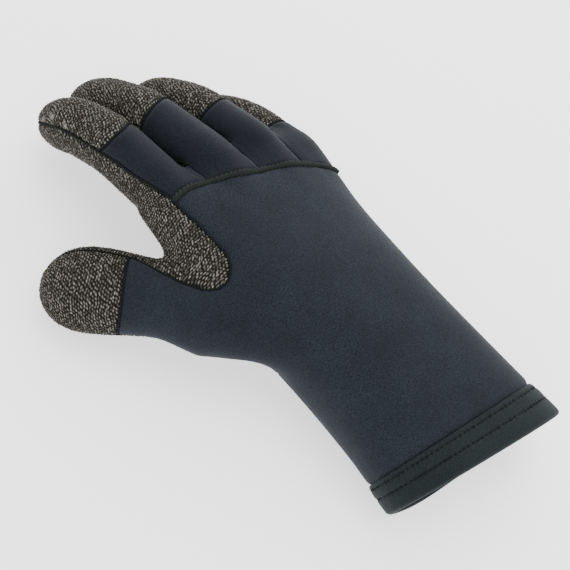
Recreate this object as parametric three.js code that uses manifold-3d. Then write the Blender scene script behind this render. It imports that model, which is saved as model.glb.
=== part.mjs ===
// Diving glove for the right hand, lying palm down, in millimetres.
// Fingertips point to +Y, the back of the hand to +Z, the thumb to -X.
// The body and the five digits are lofted tubes. Their union less the same tubes drawn in by
// the wall is one hollow shell, which the seams then cut into the glove's sewn pieces.
import * as THREE from 'three';
import { mergeVertices } from 'three/addons/utils/BufferGeometryUtils.js';
import Module from 'manifold-3d';

const wasm = await Module();
wasm.setup();
const { Manifold, Mesh } = wasm;
const rad = THREE.MathUtils.degToRad;

// Driving sizes
const palmWidth = 98; // across the knuckles
const palmDepth = 50; // palm to back of the hand, at the heel
const bodyLength = 171.6; // mouth of the gauntlet to the roots of the fingers
const wall = 3; // neoprene
const seamGap = 0.3; // between sewn pieces
const hemWidth = 16;
const hemProud = 0.6; // folded hem, past the sleeve outside and inside
const hemLip = 1.2; // rounding of the mouth's edge
const restFlat = 1.45; // how much of the hem's underside is pressed flat
const beadWidth = 3.4; // overlocked seam across the knuckles
const beadLift = 0.35; // centre of the bead over the cloth
const beadInset = { thumbSide: 3, littleSide: 2 }; // from the ends of the knuckle line
const palmHeel = 84; // mouth to the heel seam, where the palm's knit begins
const reach = 150; // half size of the cutting solids, well past the glove

// Sections of the body. along is a share of bodyLength, side and half of palmWidth, and height,
// top and bottom of palmDepth. roll is in degrees. lean slants a section towards the mouth.
const bodySections = [
  { along: 0.0, side: 0.118, height: 0.392, half: 0.487, top: 0.374, bottom: 0.385, roll: 0, lean: -0.15 },
  { along: 0.23, side: 0.072, height: 0.566, half: 0.431, top: 0.462, bottom: 0.51, roll: 0, lean: -0.06 },
  { along: 0.464, side: 0.04, height: 0.668, half: 0.424, top: 0.5, bottom: 0.5, roll: 4, lean: 0 },
  { along: 0.697, side: 0.008, height: 0.782, half: 0.474, top: 0.42, bottom: 0.44, roll: 8, lean: 0 },
  { along: 0.901, side: 0.005, height: 0.898, half: 0.5, top: 0.32, bottom: 0.34, roll: 8, lean: 0 },
  { along: 1.0, side: -0.003, height: 0.88, half: 0.458, top: 0.22, bottom: 0.24, roll: 8, lean: 0 },
];
const bodySquareness = 2.4; // exponent of the sections' superellipse
const depthLean = 1.5; // how much more the back leans over the mouth than the sides

// Digits. length, width and depth are sizes. The root is in shares of palmWidth, bodyLength and
// palmDepth. first and second are the first two bones' shares of the length, bends their dip in
// degrees, start the dip inside the hand, and behind how far back the tube begins. cap is where the
// fingertip panel begins, and edge the angle from the top to its side seams.
const digits = {
  index: {
    length: 85.5, width: 24.6, depth: 25.6, root: [-0.3255, 0.963, 1.01], yaw: 1.6, roll: -6, start: -5,
    bends: [10, 27, 44], first: 0.415, second: 0.27, behind: 14, taper: [1, 1, 0.97, 0.9],
    cap: 0.39, edge: [-62, 66],
  },
  middle: {
    length: 94, width: 24.8, depth: 26.2, root: [-0.064, 0.977, 1.034], yaw: 1, roll: 4, start: -5,
    bends: [18, 35, 52], first: 0.43, second: 0.275, behind: 14, taper: [1, 1, 0.97, 0.9],
    cap: 0.35, edge: [-80, 66],
  },
  ring: {
    length: 82.3, width: 23.4, depth: 25.2, root: [0.186, 0.961, 0.964], yaw: 0.3, roll: 14, start: -5,
    bends: [19.5, 37.5, 56.5], first: 0.425, second: 0.275, behind: 14, taper: [1, 1, 0.97, 0.9],
    cap: 0.29, edge: [-80, 66],
  },
  little: {
    length: 68.4, width: 22, depth: 22.8, root: [0.392, 0.906, 0.796], yaw: 0, roll: 24, start: -5,
    bends: [19, 36, 53.5], first: 0.41, second: 0.257, behind: 14, taper: [1, 1, 0.97, 0.9],
    cap: 0.19, edge: [-80, 70],
  },
  thumb: {
    length: 75.3, width: 37, depth: 26.3, root: [-0.4655, 0.682, 0.764], yaw: -33.5, roll: -20, start: 5,
    bends: [14.3, 20.7, 23.2], first: 0.296, second: 0.345, behind: 40, taper: [1.1, 0.9, 1, 1],
    cap: 0.49, edge: [-99, 56],
  },
};
const fingers = ['index', 'middle', 'ring', 'little'];
const tipPower = 2.3; // roundness of the fingertips
const tipShare = 0.9; // length of a rounded tip, as a share of the digit's depth
const bendSoftness = 9; // half length of a bend
const frontStart = 7; // from a finger's root to its palm-side panel
const backStart = 1; // from its root to where the wedge of its back panel begins
const pastTip = 6; // how far the cap's wedge runs past the tip
const pastRoots = 2; // how far the back panels' roots run past the body, down into the valleys
const stationGap = 1; // least distance between a cut's end and the next ring
const thumbFrontStart = 0.2; // share of the thumb's length
// Edge of the thumb's palm-side knit on the back of the thumb: share of its length, angle from the top
const thumbEdge = [
  { along: 0.1, angle: 13 },
  { along: 0.25, angle: 27 },
  { along: 0.33, angle: 36 },
  { along: 0.41, angle: 48 },
  { along: 0.5, angle: 55 },
  { along: 1.0, angle: 56 },
];

// The knuckle seam on the back of the hand, in shares of palmWidth and bodyLength
const knuckleLine = [
  { across: -0.41, along: 0.927 },
  { across: -0.3, along: 0.931 },
  { across: -0.18, along: 0.915 },
  { across: -0.02, along: 0.886 },
  { across: 0.12, along: 0.867 },
  { across: 0.3, along: 0.834 },
  { across: 0.49, along: 0.79 },
];
// The tongue of palm knit that comes over the back of the hand beside the thumb, same shares
const tongueLine = [
  { across: -0.393, along: 1.12 },
  { across: -0.393, along: 0.93 },
  { across: -0.397, along: 0.906 },
  { across: -0.384, along: 0.841 },
  { across: -0.371, along: 0.77 },
  { across: -0.372, along: 0.736 },
  { across: -0.398, along: 0.71 },
  { across: -0.446, along: 0.694 },
  { across: -0.502, along: 0.709 },
  { across: -0.534, along: 0.744 },
  { across: -0.548, along: 0.775 },
  { across: -0.54, along: 0.81 },
  { across: -0.53, along: 0.86 },
  { across: -0.53, along: 1.12 },
];
// Where the side seams run round the body's section, in degrees from the back of the hand
const radialSeam = -112;
const ulnarSeam = 95;
const thumbSeamHeight = 0.4; // share of palmDepth, under the outer edge of the thumb
const thumbSeamSide = -0.79; // share of palmWidth

// Fineness of the surfaces, few faces being enough
const bodySteps = 9;
const bodySides = 24;
const digitSides = 12;
const digitStep = 10; // between rings along a digit
const tipSteps = 3; // rings on a rounded tip
const tipLast = 0.6; // share of a step between the last of them and the very tip
const pathSteps = 120; // a digit's centre line is walked in so many steps
const wedgeSteps = 5;
const turnSteps = 8;
const seamSteps = 8;
const rootSteps = 4;
const beadSides = 8;
const beadStops = 16; // places where the knuckle seam is laid on the skin
const beadRings = 22;

// A smooth curve through the rows of a table, at x in its first column
function curve(rows, key, column, x) {
  const last = rows.length - 1;
  const slope = (i) => {
    const a = rows[Math.max(i - 1, 0)];
    const b = rows[Math.min(i + 1, last)];
    return (b[column] - a[column]) / (b[key] - a[key]);
  };
  let i = 0;
  while (i < last - 1 && x > rows[i + 1][key]) i += 1;
  const h = rows[i + 1][key] - rows[i][key];
  const t = (x - rows[i][key]) / h;
  const [from, to] = [rows[i][column], rows[i + 1][column]];
  const blend = 3 * t ** 2 - 2 * t ** 3;
  const bend = (t ** 3 - 2 * t ** 2 + t) * h * slope(i) + (t ** 3 - t ** 2) * h * slope(i + 1);
  return (1 - blend) * from + blend * to + bend;
}

const ease = (x) => THREE.MathUtils.smoothstep(x, 0, 1);
const root = (x, power) => Math.sign(x) * Math.abs(x) ** (2 / power);

// A point of the body's skin: along the body from its mouth, at an angle from the back of the
// hand towards the little finger, moved out by grow
function bodyPoint(along, angle, grow) {
  const at = THREE.MathUtils.clamp(along / bodyLength, 0, 1);
  const [side, height, half, top, bottom, roll, lean] = [
    'side', 'height', 'half', 'top', 'bottom', 'roll', 'lean',
  ].map((column) => curve(bodySections, 'along', column, at));
  const depth = (Math.cos(angle) > 0 ? top : bottom) * palmDepth + grow;
  const px = (half * palmWidth + grow) * root(Math.sin(angle), bodySquareness);
  const pz = depth * root(Math.cos(angle), bodySquareness);
  const [c, s] = [Math.cos(rad(roll)), Math.sin(rad(roll))];
  return new THREE.Vector3(
    side * palmWidth + px * c + pz * s,
    along + lean * (px + depthLean * pz),
    height * palmDepth - px * s + pz * c,
  );
}

function bodyRing(along, grow) {
  return Array.from(
    { length: bodySides },
    (_, i) => bodyPoint(along, (2 * Math.PI * i) / bodySides, grow),
  );
}

// Centre line of a digit: its heading is worked out from the bends and walked in short steps
function digitPath(digit) {
  const { length, first, second, behind } = digit;
  const joints = [0, first * length, (first + second) * length];
  const pitches = [digit.start, ...digit.bends];
  const heading = (s) => {
    let pitch = pitches[0];
    joints.forEach((joint, k) => {
      pitch += (pitches[k + 1] - pitches[k]) * ease((s - joint + bendSoftness) / (2 * bendSoftness));
    });
    const [p, y] = [rad(pitch), rad(digit.yaw)];
    return new THREE.Vector3(Math.sin(y) * Math.cos(p), Math.cos(y) * Math.cos(p), -Math.sin(p));
  };
  const base = new THREE.Vector3(
    digit.root[0] * palmWidth, digit.root[1] * bodyLength, digit.root[2] * palmDepth,
  );
  const walk = (end) => {
    const points = [base.clone()];
    const step = end / pathSteps;
    for (let i = 0; i < pathSteps; i += 1) {
      points.push(points[i].clone().addScaledVector(heading((i + 0.5) * step), step));
    }
    return points;
  };
  const [ahead, back] = [walk(length), walk(-behind)];
  const centre = (s) => {
    const [points, end] = s < 0 ? [back, -behind] : [ahead, length];
    const at = Math.min((s / end) * pathSteps, pathSteps - 1e-6);
    const i = Math.floor(at);
    return points[i].clone().lerp(points[i + 1], at - i);
  };
  return { centre, heading };
}

const shapeKeys = ({ first, second, taper }) => [
  { along: -1, share: taper[0] },
  { along: 0, share: taper[0] },
  { along: first, share: taper[1] },
  { along: first + second, share: taper[2] },
  { along: 1, share: taper[3] },
];

// A digit as functions of the distance s along it: frame gives centre, side and top directions
for (const digit of Object.values(digits)) {
  const { centre, heading } = digitPath(digit);
  const keys = shapeKeys(digit);
  digit.tip = tipShare * digit.depth;
  digit.frame = (s) => {
    const ahead = heading(s);
    const flat = new THREE.Vector3(Math.cos(rad(digit.yaw)), -Math.sin(rad(digit.yaw)), 0);
    const up = flat.clone().cross(ahead);
    const [c, k] = [Math.cos(rad(digit.roll)), Math.sin(rad(digit.roll))];
    const side = flat.clone().multiplyScalar(c).addScaledVector(up, -k);
    const top = up.multiplyScalar(c).addScaledVector(flat, k);
    return { centre: centre(s), side, top };
  };
  digit.shape = (s) => curve(keys, 'along', 'share', s / digit.length);
}

// A point beside a digit's centre line at an angle from its top
function aroundDigit({ centre, side, top }, angle, across, deep) {
  return centre.clone()
    .addScaledVector(side, Math.sin(angle) * across)
    .addScaledVector(top, Math.cos(angle) * deep);
}

function digitRing(digit, s, grow) {
  const u = THREE.MathUtils.clamp((s - digit.length + digit.tip) / (digit.tip + grow), 0, 1);
  const round = Math.sqrt(Math.max(1 - u ** tipPower, 0));
  const across = ((digit.width / 2) * digit.shape(s) + grow) * round;
  const deep = ((digit.depth / 2) * digit.shape(s) + grow) * round;
  const frame = digit.frame(s);
  return Array.from(
    { length: digitSides },
    (_, i) => aroundDigit(frame, (2 * Math.PI * i) / digitSides, across, deep),
  );
}

const solidFrom = (positions, index) => new Manifold(new Mesh({
  numProp: 3, vertProperties: Float32Array.from(positions), triVerts: Uint32Array.from(index),
}));

// A closed solid through rings of points that run round +Y or a digit from the top to the right
function loft(rings, tip) {
  const n = rings[0].length;
  const points = rings.flat();
  const index = [];
  for (let i = 0; i < rings.length - 1; i += 1) {
    for (let j = 0; j < n; j += 1) {
      const [a, b] = [i * n + j, i * n + ((j + 1) % n)];
      index.push(a, b, b + n, a, b + n, a + n);
    }
  }
  const middle = (ring) => ring.reduce((sum, p) => sum.add(p), new THREE.Vector3()).divideScalar(n);
  const start = points.push(middle(rings[0])) - 1;
  const end = points.push(tip ?? middle(rings.at(-1))) - 1;
  const last = (rings.length - 1) * n;
  for (let j = 0; j < n; j += 1) {
    const k = (j + 1) % n;
    index.push(start, k, j, end, last + j, last + k);
  }
  return solidFrom(points.flatMap((p) => p.toArray()), index);
}

const spaced = (from, to, steps) => Array.from(
  { length: steps + 1 },
  (_, i) => from + ((to - from) * i) / steps,
);

// Distances along a digit at which its rings lie, the last few on its rounded tip
function digitStations(digit, grow) {
  const straight = digit.length - digit.tip;
  const stations = spaced(-digit.behind, straight, Math.ceil((straight + digit.behind) / digitStep));
  for (let i = 1; i <= tipSteps; i += 1) {
    const turn = (i / (tipSteps + tipLast)) * (Math.PI / 2);
    stations.push(straight + (digit.tip + grow) * Math.sin(turn));
  }
  return stations;
}

function digitSolid(digit, grow) {
  const end = digit.frame(digit.length + grow).centre;
  return loft(digitStations(digit, grow).map((s) => digitRing(digit, s, grow)), end);
}

function bodySolid(grow, from, run = 0) {
  const stations = spaced(from, bodyLength + Math.min(grow, 0), bodySteps);
  const rings = stations.map((along) => bodyRing(along, grow));
  if (run) rings.unshift(rings[0].map((p) => p.clone().setY(p.y - run)));
  return loft(rings);
}

// A digit's own stations between two distances along it, and those two
function stretch(digit, from, to) {
  const [low, high] = [from + stationGap, to - stationGap];
  const inside = digitStations(digit, 0).filter((s) => s > low && s < high);
  return [from, ...inside, to];
}

// The wedge of a digit between two angles from its top, from one distance along it to another.
// grow moves its two sides apart.
function digitWedge(digit, from, to, angles, grow = 0) {
  const rings = stretch(digit, from - grow, to + grow).map((s) => {
    const frame = digit.frame(s);
    const [low, high] = angles(s).map(rad);
    const [mid, half] = [(low + high) / 2, (high - low) / 2];
    const shift = -grow / Math.sin(half);
    const centre = aroundDigit(frame, mid, shift, shift);
    const corner = { ...frame, centre };
    const arc = spaced(low, high, wedgeSteps)
      .map((angle) => aroundDigit(corner, angle, digit.width, digit.width));
    return [...arc, centre];
  });
  return loft(rings);
}

// All that lies round a digit's centre line past a distance along it
function digitBeyond(digit, from) {
  const rings = stretch(digit, from, digit.length + digit.tip).map((s) => {
    const frame = digit.frame(s);
    const angles = spaced(0, 2 * Math.PI, turnSteps).slice(1);
    return angles.map((angle) => aroundDigit(frame, angle, digit.width, digit.width));
  });
  return loft(rings);
}

// An outline seen from above, as an upright prism
function uprightPrism(outline) {
  const shape = new THREE.Shape(outline.map(([x, y]) => new THREE.Vector2(x, y)));
  const geometry = new THREE.ExtrudeGeometry(shape, { depth: 2 * reach, bevelEnabled: false });
  geometry.translate(0, 0, -reach);
  geometry.deleteAttribute('normal');
  geometry.deleteAttribute('uv');
  const merged = mergeVertices(geometry);
  return solidFrom(merged.attributes.position.array, merged.index.array);
}

// Everything under the side seams, from one distance along the body to another
function underSeams(from, to, grow) {
  const rings = spaced(from, to, seamSteps).map((along) => {
    const radial = bodyPoint(along, rad(radialSeam), 0);
    const ulnar = bodyPoint(along, rad(ulnarSeam), 0);
    const thumb = [thumbSeamSide * palmWidth, thumbSeamHeight * palmDepth];
    const outline = [
      [-reach, -reach], [-reach, thumb[1]], [thumb[0], thumb[1]], [radial.x, radial.z],
      [ulnar.x, ulnar.z], [reach, ulnar.z], [reach, -reach],
    ];
    return outline.map(([x, z]) => new THREE.Vector3(x, along, z + (z > -reach ? grow : 0)));
  });
  return loft(rings);
}

const knuckleAt = (x) => bodyLength * curve(knuckleLine, 'across', 'along', x / palmWidth);
const rootX = (name) => digits[name].root[0] * palmWidth;
const rootY = (name) => digits[name].root[1] * bodyLength;

// Back of a finger's root: between its valleys, past the knuckle seam and over the side seams
function rootBlock(name, grow) {
  const i = fingers.indexOf(name);
  const valley = (k) => (rootX(fingers[k]) + rootX(fingers[k + 1])) / 2;
  const left = (i === 0 ? tongueLine[0].across * palmWidth : valley(i - 1)) - grow;
  const right = (i === fingers.length - 1 ? reach : valley(i)) + grow;
  const seam = spaced(left, Math.min(right, palmWidth / 2), rootSteps)
    .map((x) => [x, knuckleAt(x) - grow]);
  const far = Math.max(rootY(name) + frontStart - backStart, bodyLength + pastRoots) + grow;
  const outline = [...seam, [right, seam.at(-1)[1]], [right, far], [left, far]];
  return uprightPrism(outline).subtract(underSeams(-reach, 2 * reach, -grow));
}

const capStart = (digit) => digit.cap * digit.length;
const fixedEdge = (digit) => () => digit.edge;
const clear = seamGap / 3; // reach of a digit's own zone past its skin

function capZone(digit, grow) {
  const wedge = digitWedge(digit, capStart(digit), digit.length + pastTip, fixedEdge(digit), grow);
  return wedge.intersect(digitSolid(digit, clear + grow));
}

function fingerBackZone(name, grow) {
  const digit = digits[name];
  const wedge = digitWedge(digit, backStart, capStart(digit), fixedEdge(digit), grow);
  return wedge.intersect(digitSolid(digit, clear + grow)).add(rootBlock(name, grow));
}

function thumbEdges(s) {
  const at = THREE.MathUtils.clamp(s / digits.thumb.length, thumbEdge[0].along, 1);
  return [digits.thumb.edge[0], curve(thumbEdge, 'along', 'angle', at)];
}

function frontZone(name, grow) {
  const digit = digits[name];
  const from = name === 'thumb' ? thumbFrontStart * digit.length : frontStart;
  const whole = digitSolid(digit, clear + grow).intersect(digitBeyond(digit, from - grow));
  if (name !== 'thumb') return whole;
  return whole.subtract(digitWedge(digit, 0, capStart(digit) + frontStart, thumbEdges, -grow));
}

function tongueZone(grow) {
  const points = tongueLine.map(
    ({ across, along }) => new THREE.Vector2(across * palmWidth, along * bodyLength),
  );
  const moved = points.map((p, i) => {
    const next = points[Math.min(i + 1, points.length - 1)];
    const run = next.clone().sub(points[Math.max(i - 1, 0)]).normalize();
    return [p.x - run.y * grow, p.y + run.x * grow];
  });
  return uprightPrism(moved.reverse());
}

// The hollow shell
const sleeveStart = hemWidth + seamGap;
const join = (solids) => solids.reduce((sum, solid) => sum.add(solid));
const everyDigit = Object.values(digits);
const digitSolids = (grow) => everyDigit.map((digit) => digitSolid(digit, grow));
const outside = (grow) => join([bodySolid(grow, sleeveStart), ...digitSolids(grow)]);
const hollow = join([bodySolid(-wall, sleeveStart, 2 * sleeveStart), ...digitSolids(-wall)]);
const skin = outside(0);
const shell = skin.subtract(hollow);

// The sewn pieces, in the order in which they claim their part of the shell
const zones = [
  ...Object.entries(digits).map(([name, digit]) => [`${name}_cap`, (grow) => capZone(digit, grow)]),
  ...fingers.map((name) => [`${name}_back`, (grow) => fingerBackZone(name, grow)]),
  ...Object.keys(digits).map((name) => [`${name}_front`, (grow) => frontZone(name, grow)]),
  ['palm_panel', (grow) => underSeams(palmHeel - grow, 2 * reach, grow).add(tongueZone(grow))],
  ['gauntlet_under', (grow) => underSeams(-reach, palmHeel, grow)],
];

// The largest body of a cut, without the slivers beside it
const largest = (solid) => solid.decompose().sort((a, b) => b.volume() - a.volume())[0];

const pieces = {};
let rest = shell;
for (const [name, zone] of zones) {
  pieces[name] = largest(rest.intersect(zone(0)));
  rest = rest.subtract(zone(seamGap));
}
pieces.back_panel = largest(rest);

// The folded hem round the mouth, pressed flat where it rests
function hem() {
  const lowest = Math.min(...bodyRing(0, hemProud).map((p) => p.z)) + restFlat;
  const profile = [
    { along: 0, draw: -hemLip },
    { along: hemLip, draw: 0 },
    { along: hemWidth - hemLip / 2, draw: 0 },
    { along: hemWidth, draw: -hemLip / 2 },
  ];
  const outer = profile.map(({ along, draw }) => {
    const ring = bodyRing(along, hemProud + draw);
    return ring.map((p) => p.setZ(Math.max(p.z, lowest - draw)));
  });
  const bore = [-1, 0, 1, 2].map((share) => {
    const along = share * hemWidth;
    const station = THREE.MathUtils.clamp(along, 0, hemWidth);
    return bodyRing(station, -wall - hemProud).map((p) => p.setY(p.y + along - station));
  });
  return loft(outer).subtract(loft(bore));
}
pieces.cuff_hem = hem();

// The raised overlocked seam, laid on the skin along the knuckle line
function knuckleBead() {
  const skinMesh = new THREE.Mesh(geometryOf(skin), new THREE.MeshBasicMaterial());
  skinMesh.updateMatrixWorld();
  const ray = new THREE.Raycaster();
  const down = new THREE.Vector3(0, 0, -1);
  const start = knuckleLine[0].across * palmWidth + beadInset.thumbSide;
  const end = knuckleLine.at(-1).across * palmWidth - beadInset.littleSide;
  const path = spaced(start, end, beadStops).map((x) => {
    ray.set(new THREE.Vector3(x, knuckleAt(x), reach), down);
    return ray.intersectObject(skinMesh)[0].point;
  });
  const smooth = new THREE.CatmullRomCurve3(path);
  const rings = spaced(0, 1, beadRings).map((t) => {
    const [p, ahead] = [smooth.getPoint(t), smooth.getTangent(t)];
    const across = ahead.clone().cross(down).normalize();
    const up = across.clone().cross(ahead).normalize();
    const centre = p.addScaledVector(up, beadLift);
    return Array.from({ length: beadSides }, (_, i) => {
      const angle = (2 * Math.PI * i) / beadSides;
      return centre.clone()
        .addScaledVector(up, (Math.cos(angle) * beadWidth) / 2)
        .addScaledVector(across, (Math.sin(angle) * beadWidth) / 2);
    });
  });
  return largest(loft(rings).subtract(outside(seamGap)));
}

function geometryOf(solid) {
  const mesh = solid.getMesh();
  const geometry = new THREE.BufferGeometry();
  geometry.setAttribute('position', new THREE.BufferAttribute(mesh.vertProperties, mesh.numProp));
  geometry.setIndex(new THREE.BufferAttribute(mesh.triVerts, 1));
  return geometry;
}
pieces.knuckle_seam = knuckleBead();

const cloth = {
  neoprene: new THREE.MeshStandardMaterial({ color: 0x30343a, roughness: 0.85, metalness: 0 }),
  knit: new THREE.MeshStandardMaterial({ color: 0x4b4a45, roughness: 0.95, metalness: 0 }),
  trim: new THREE.MeshStandardMaterial({ color: 0x2a2f2f, roughness: 0.9, metalness: 0 }),
};
const clothOf = (name) => {
  if (name === 'cuff_hem' || name === 'knuckle_seam') return cloth.trim;
  return /_cap|_front|palm/.test(name) ? cloth.knit : cloth.neoprene;
};

const glove = new THREE.Group();
glove.name = 'diving_glove';
for (const [name, solid] of Object.entries(pieces)) {
  const mesh = new THREE.Mesh(geometryOf(solid), clothOf(name));
  mesh.name = name;
  glove.add(mesh);
}

// The origin is under the middle of the glove, on what it rests on
const box = new THREE.Box3().setFromObject(glove);
const middle = box.getCenter(new THREE.Vector3());
glove.position.set(-middle.x, -middle.y, -box.min.z);
glove.updateMatrixWorld(true);

export default glove;
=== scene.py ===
import bpy
import numpy as np
from mathutils import Matrix, Vector


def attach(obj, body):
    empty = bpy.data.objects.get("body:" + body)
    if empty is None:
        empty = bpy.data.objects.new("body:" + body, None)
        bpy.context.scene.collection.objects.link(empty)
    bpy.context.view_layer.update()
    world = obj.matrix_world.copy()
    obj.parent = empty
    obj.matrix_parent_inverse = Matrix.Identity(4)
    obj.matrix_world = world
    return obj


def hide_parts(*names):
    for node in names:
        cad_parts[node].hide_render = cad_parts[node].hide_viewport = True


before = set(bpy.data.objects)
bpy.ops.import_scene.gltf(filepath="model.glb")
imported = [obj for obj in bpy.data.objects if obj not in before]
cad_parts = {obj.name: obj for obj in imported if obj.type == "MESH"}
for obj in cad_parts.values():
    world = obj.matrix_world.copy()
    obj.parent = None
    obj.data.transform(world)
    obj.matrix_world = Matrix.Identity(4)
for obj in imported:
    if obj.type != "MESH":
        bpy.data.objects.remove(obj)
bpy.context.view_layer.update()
print("frame loaded:", len(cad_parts), "nodes")

# Diving glove lying palm down. All shapes are worked out in millimetres in the glove's own
# axes, fingertips to +Y, y = 0 at the mouth, and are moved into the frame as they are built.
glove = dict(
    palmWidth=98.0, palmDepth=50.0, bodyLength=171.6, wall=3.0,
    place=(16.102, -119.538, -1.2),   # from the glove's axes to the frame, mm
    floorGap=0.02,                    # what the lowest points keep off the floor
    squareness=2.4,                   # power of the body's section, which is an ellipse at 2
    depthLean=1.5,                    # how much the slant follows depth, against width
    endSoftness=6.0,                  # rounding of the body's end under the fingers
    sleeveStart=16.3,                 # where the sleeve leaves the hem
    palmHeel=84.0,                    # heel seam under the hand
    thumbBlend=8.5, fingerBlend=5.5,  # softness of the folds where tubes meet, mm
)
# Sections of the body: along is a share of bodyLength, side and half of palmWidth, height,
# top and bottom of palmDepth, roll in degrees, lean the slant towards the mouth
bodyRows = np.array([
    # along  side    height half   top    bottom roll lean
    (0.0,    0.118,  0.392, 0.487, 0.374, 0.385, 0.0, -0.15),
    (0.23,   0.072,  0.566, 0.431, 0.462, 0.51,  0.0, -0.06),
    (0.464,  0.04,   0.668, 0.424, 0.5,   0.5,   4.0, 0.0),
    (0.697,  0.008,  0.782, 0.474, 0.42,  0.44,  8.0, 0.0),
    (0.901,  0.005,  0.898, 0.5,   0.32,  0.34,  8.0, 0.0),
    (1.0,    -0.003, 0.88,  0.458, 0.22,  0.24,  8.0, 0.0),
])
# Digits: sizes in mm, root in shares of palmWidth, bodyLength and palmDepth, angles in degrees.
# The phalanges first and second are shares of the length, behind is how far a tube reaches back
# into the hand, and taper is its size at four places from root to tip.
digits = dict(
    index=dict(length=85.5, width=24.6, depth=25.6, root=(-0.3255, 0.963, 1.01), yaw=1.6, roll=-6,
               pitch=(-5, 10, 27, 44), first=0.415, second=0.27, behind=14, taper=(1, 1, 0.97, 0.9)),
    middle=dict(length=94.0, width=24.8, depth=26.2, root=(-0.064, 0.977, 1.034), yaw=1, roll=4,
                pitch=(-5, 18, 35, 52), first=0.43, second=0.275, behind=14, taper=(1, 1, 0.97, 0.9)),
    ring=dict(length=82.3, width=23.4, depth=25.2, root=(0.186, 0.961, 0.964), yaw=0.3, roll=14,
              pitch=(-5, 19.5, 37.5, 56.5), first=0.425, second=0.275, behind=14, taper=(1, 1, 0.97, 0.9)),
    little=dict(length=68.4, width=22.0, depth=22.8, root=(0.392, 0.906, 0.796), yaw=0, roll=24,
                pitch=(-5, 19, 36, 53.5), first=0.41, second=0.257, behind=14, taper=(1, 1, 0.97, 0.9)),
    thumb=dict(length=75.3, width=37.0, depth=26.3, root=(-0.4655, 0.682, 0.764), yaw=-33.5, roll=-20,
               pitch=(5, 14.3, 20.7, 23.2), first=0.296, second=0.345, behind=42, taper=(1.1, 0.9, 1, 1)),
)
fingers = ("index", "middle", "ring", "little")
tipPower = 2.3       # of a rounded tip, which is an ellipse at 2
tipShare = 0.9       # length of a rounded tip, as a share of the digit's depth
bendSoftness = 9.0   # half the length over which a digit bends at a joint, mm


# Cubic through a table's points, each slope taken from the points on either side
def smoothCurve(xs, ys, x):
    xs, ys = np.asarray(xs, float), np.asarray(ys, float)
    slope = np.gradient(ys, xs)
    slope[1:-1] = (ys[2:] - ys[:-2]) / (xs[2:] - xs[:-2])
    x = np.clip(x, xs[0], xs[-1])
    i = np.clip(np.searchsorted(xs, x, side="right") - 1, 0, len(xs) - 2)
    h = xs[i + 1] - xs[i]
    t = (x - xs[i]) / h
    return ((2 * t**3 - 3 * t**2 + 1) * ys[i] + (t**3 - 2 * t**2 + t) * h * slope[i]
            + (3 * t**2 - 2 * t**3) * ys[i + 1] + (t**3 - t**2) * h * slope[i + 1])


def ease(x):
    x = np.clip(x, 0, 1)
    return x * x * (3 - 2 * x)


# Eased share of the way from a start over a span
def easeFrom(x, start, span):
    return ease((x - start) / span)


def mix(a, b, t):
    return a + (b - a) * t


def unit(v):
    return v / np.maximum(np.linalg.norm(v, axis=-1, keepdims=True), 1e-9)


# Distance run along a line of points, from zero at its first point
def runAlong(path):
    return np.concatenate([[0], np.cumsum(np.linalg.norm(np.diff(path, axis=0), axis=1))])


# Angles of a full turn in even steps, the last step leading back to the first
def fullTurn(count):
    return np.linspace(0, 2 * np.pi, count, endpoint=False)


# Lower of two fields, rounded over a width k where they are close
def softMin(a, b, k):
    h = np.maximum(k - np.abs(a - b), 0) / k
    return np.minimum(a, b) - h * h * k / 4


# Section of the body at distances along it, read from bodyRows and turned into mm and radians
def bodySection(along):
    at = np.clip(along / glove["bodyLength"], 0, 1)
    w, d = glove["palmWidth"], glove["palmDepth"]
    side, height, half, top, bottom, roll, lean = (
        smoothCurve(bodyRows[:, 0], bodyRows[:, k], at) for k in range(1, 8))
    return side * w, height * d, half * w, top * d, bottom * d, np.radians(roll), lean


# Point of the body's skin: a squarish ellipse at a distance along the body, its angle measured
# from the back of the hand towards the little finger, rolled and leant as its row says
def bodyPoint(along, angle, grow=0.0):
    side, height, half, top, bottom, roll, lean = bodySection(along)
    power = 2 / glove["squareness"]
    sn, cs = np.sin(angle), np.cos(angle)
    px = (half + grow) * np.sign(sn) * np.abs(sn) ** power
    pz = (np.where(cs > 0, top, bottom) + grow) * np.sign(cs) * np.abs(cs) ** power
    c, s = np.cos(roll), np.sin(roll)
    return np.stack([side + px * c + pz * s, along + lean * (px + glove["depthLean"] * pz),
                     height - px * s + pz * c], -1)


# Field of the body at points p: about the distance in mm from its skin, negative inside,
# with the point's distance along the body and its angle
def bodyField(p):
    along = p[..., 1]
    for _ in range(4):
        side, height, half, top, bottom, roll, lean = bodySection(along)
        x, z = p[..., 0] - side, p[..., 2] - height
        c, s = np.cos(roll), np.sin(roll)
        px, pz = x * c - z * s, x * s + z * c
        along = p[..., 1] - lean * (px + glove["depthLean"] * pz)
    n = glove["squareness"]
    tall = np.where(pz > 0, top, bottom)
    ux, uz = np.abs(px / half), np.abs(pz / tall)
    rho = (ux**n + uz**n) ** (1 / n)
    away = np.hypot(px, pz) * (1 - 1 / np.maximum(rho, 1e-3))
    beyond = along - glove["bodyLength"]
    field = -softMin(-away, -beyond, glove["endSoftness"])
    angle = np.arctan2(np.sign(px) * ux ** (n / 2), np.sign(pz) * uz ** (n / 2))
    return field, along, angle


# Each digit's centre line is walked in half-millimetre steps from its heading, which dips by
# its pitches at the joints. The tables hold centre, directions and half sizes.
tableStep, tableBack, tableAhead = 0.5, 44.0, 22.0
coarseStep = 14   # rows of a table between the places tried first for the nearest one
approach = 0.9    # share of each step taken towards the nearest place


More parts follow.
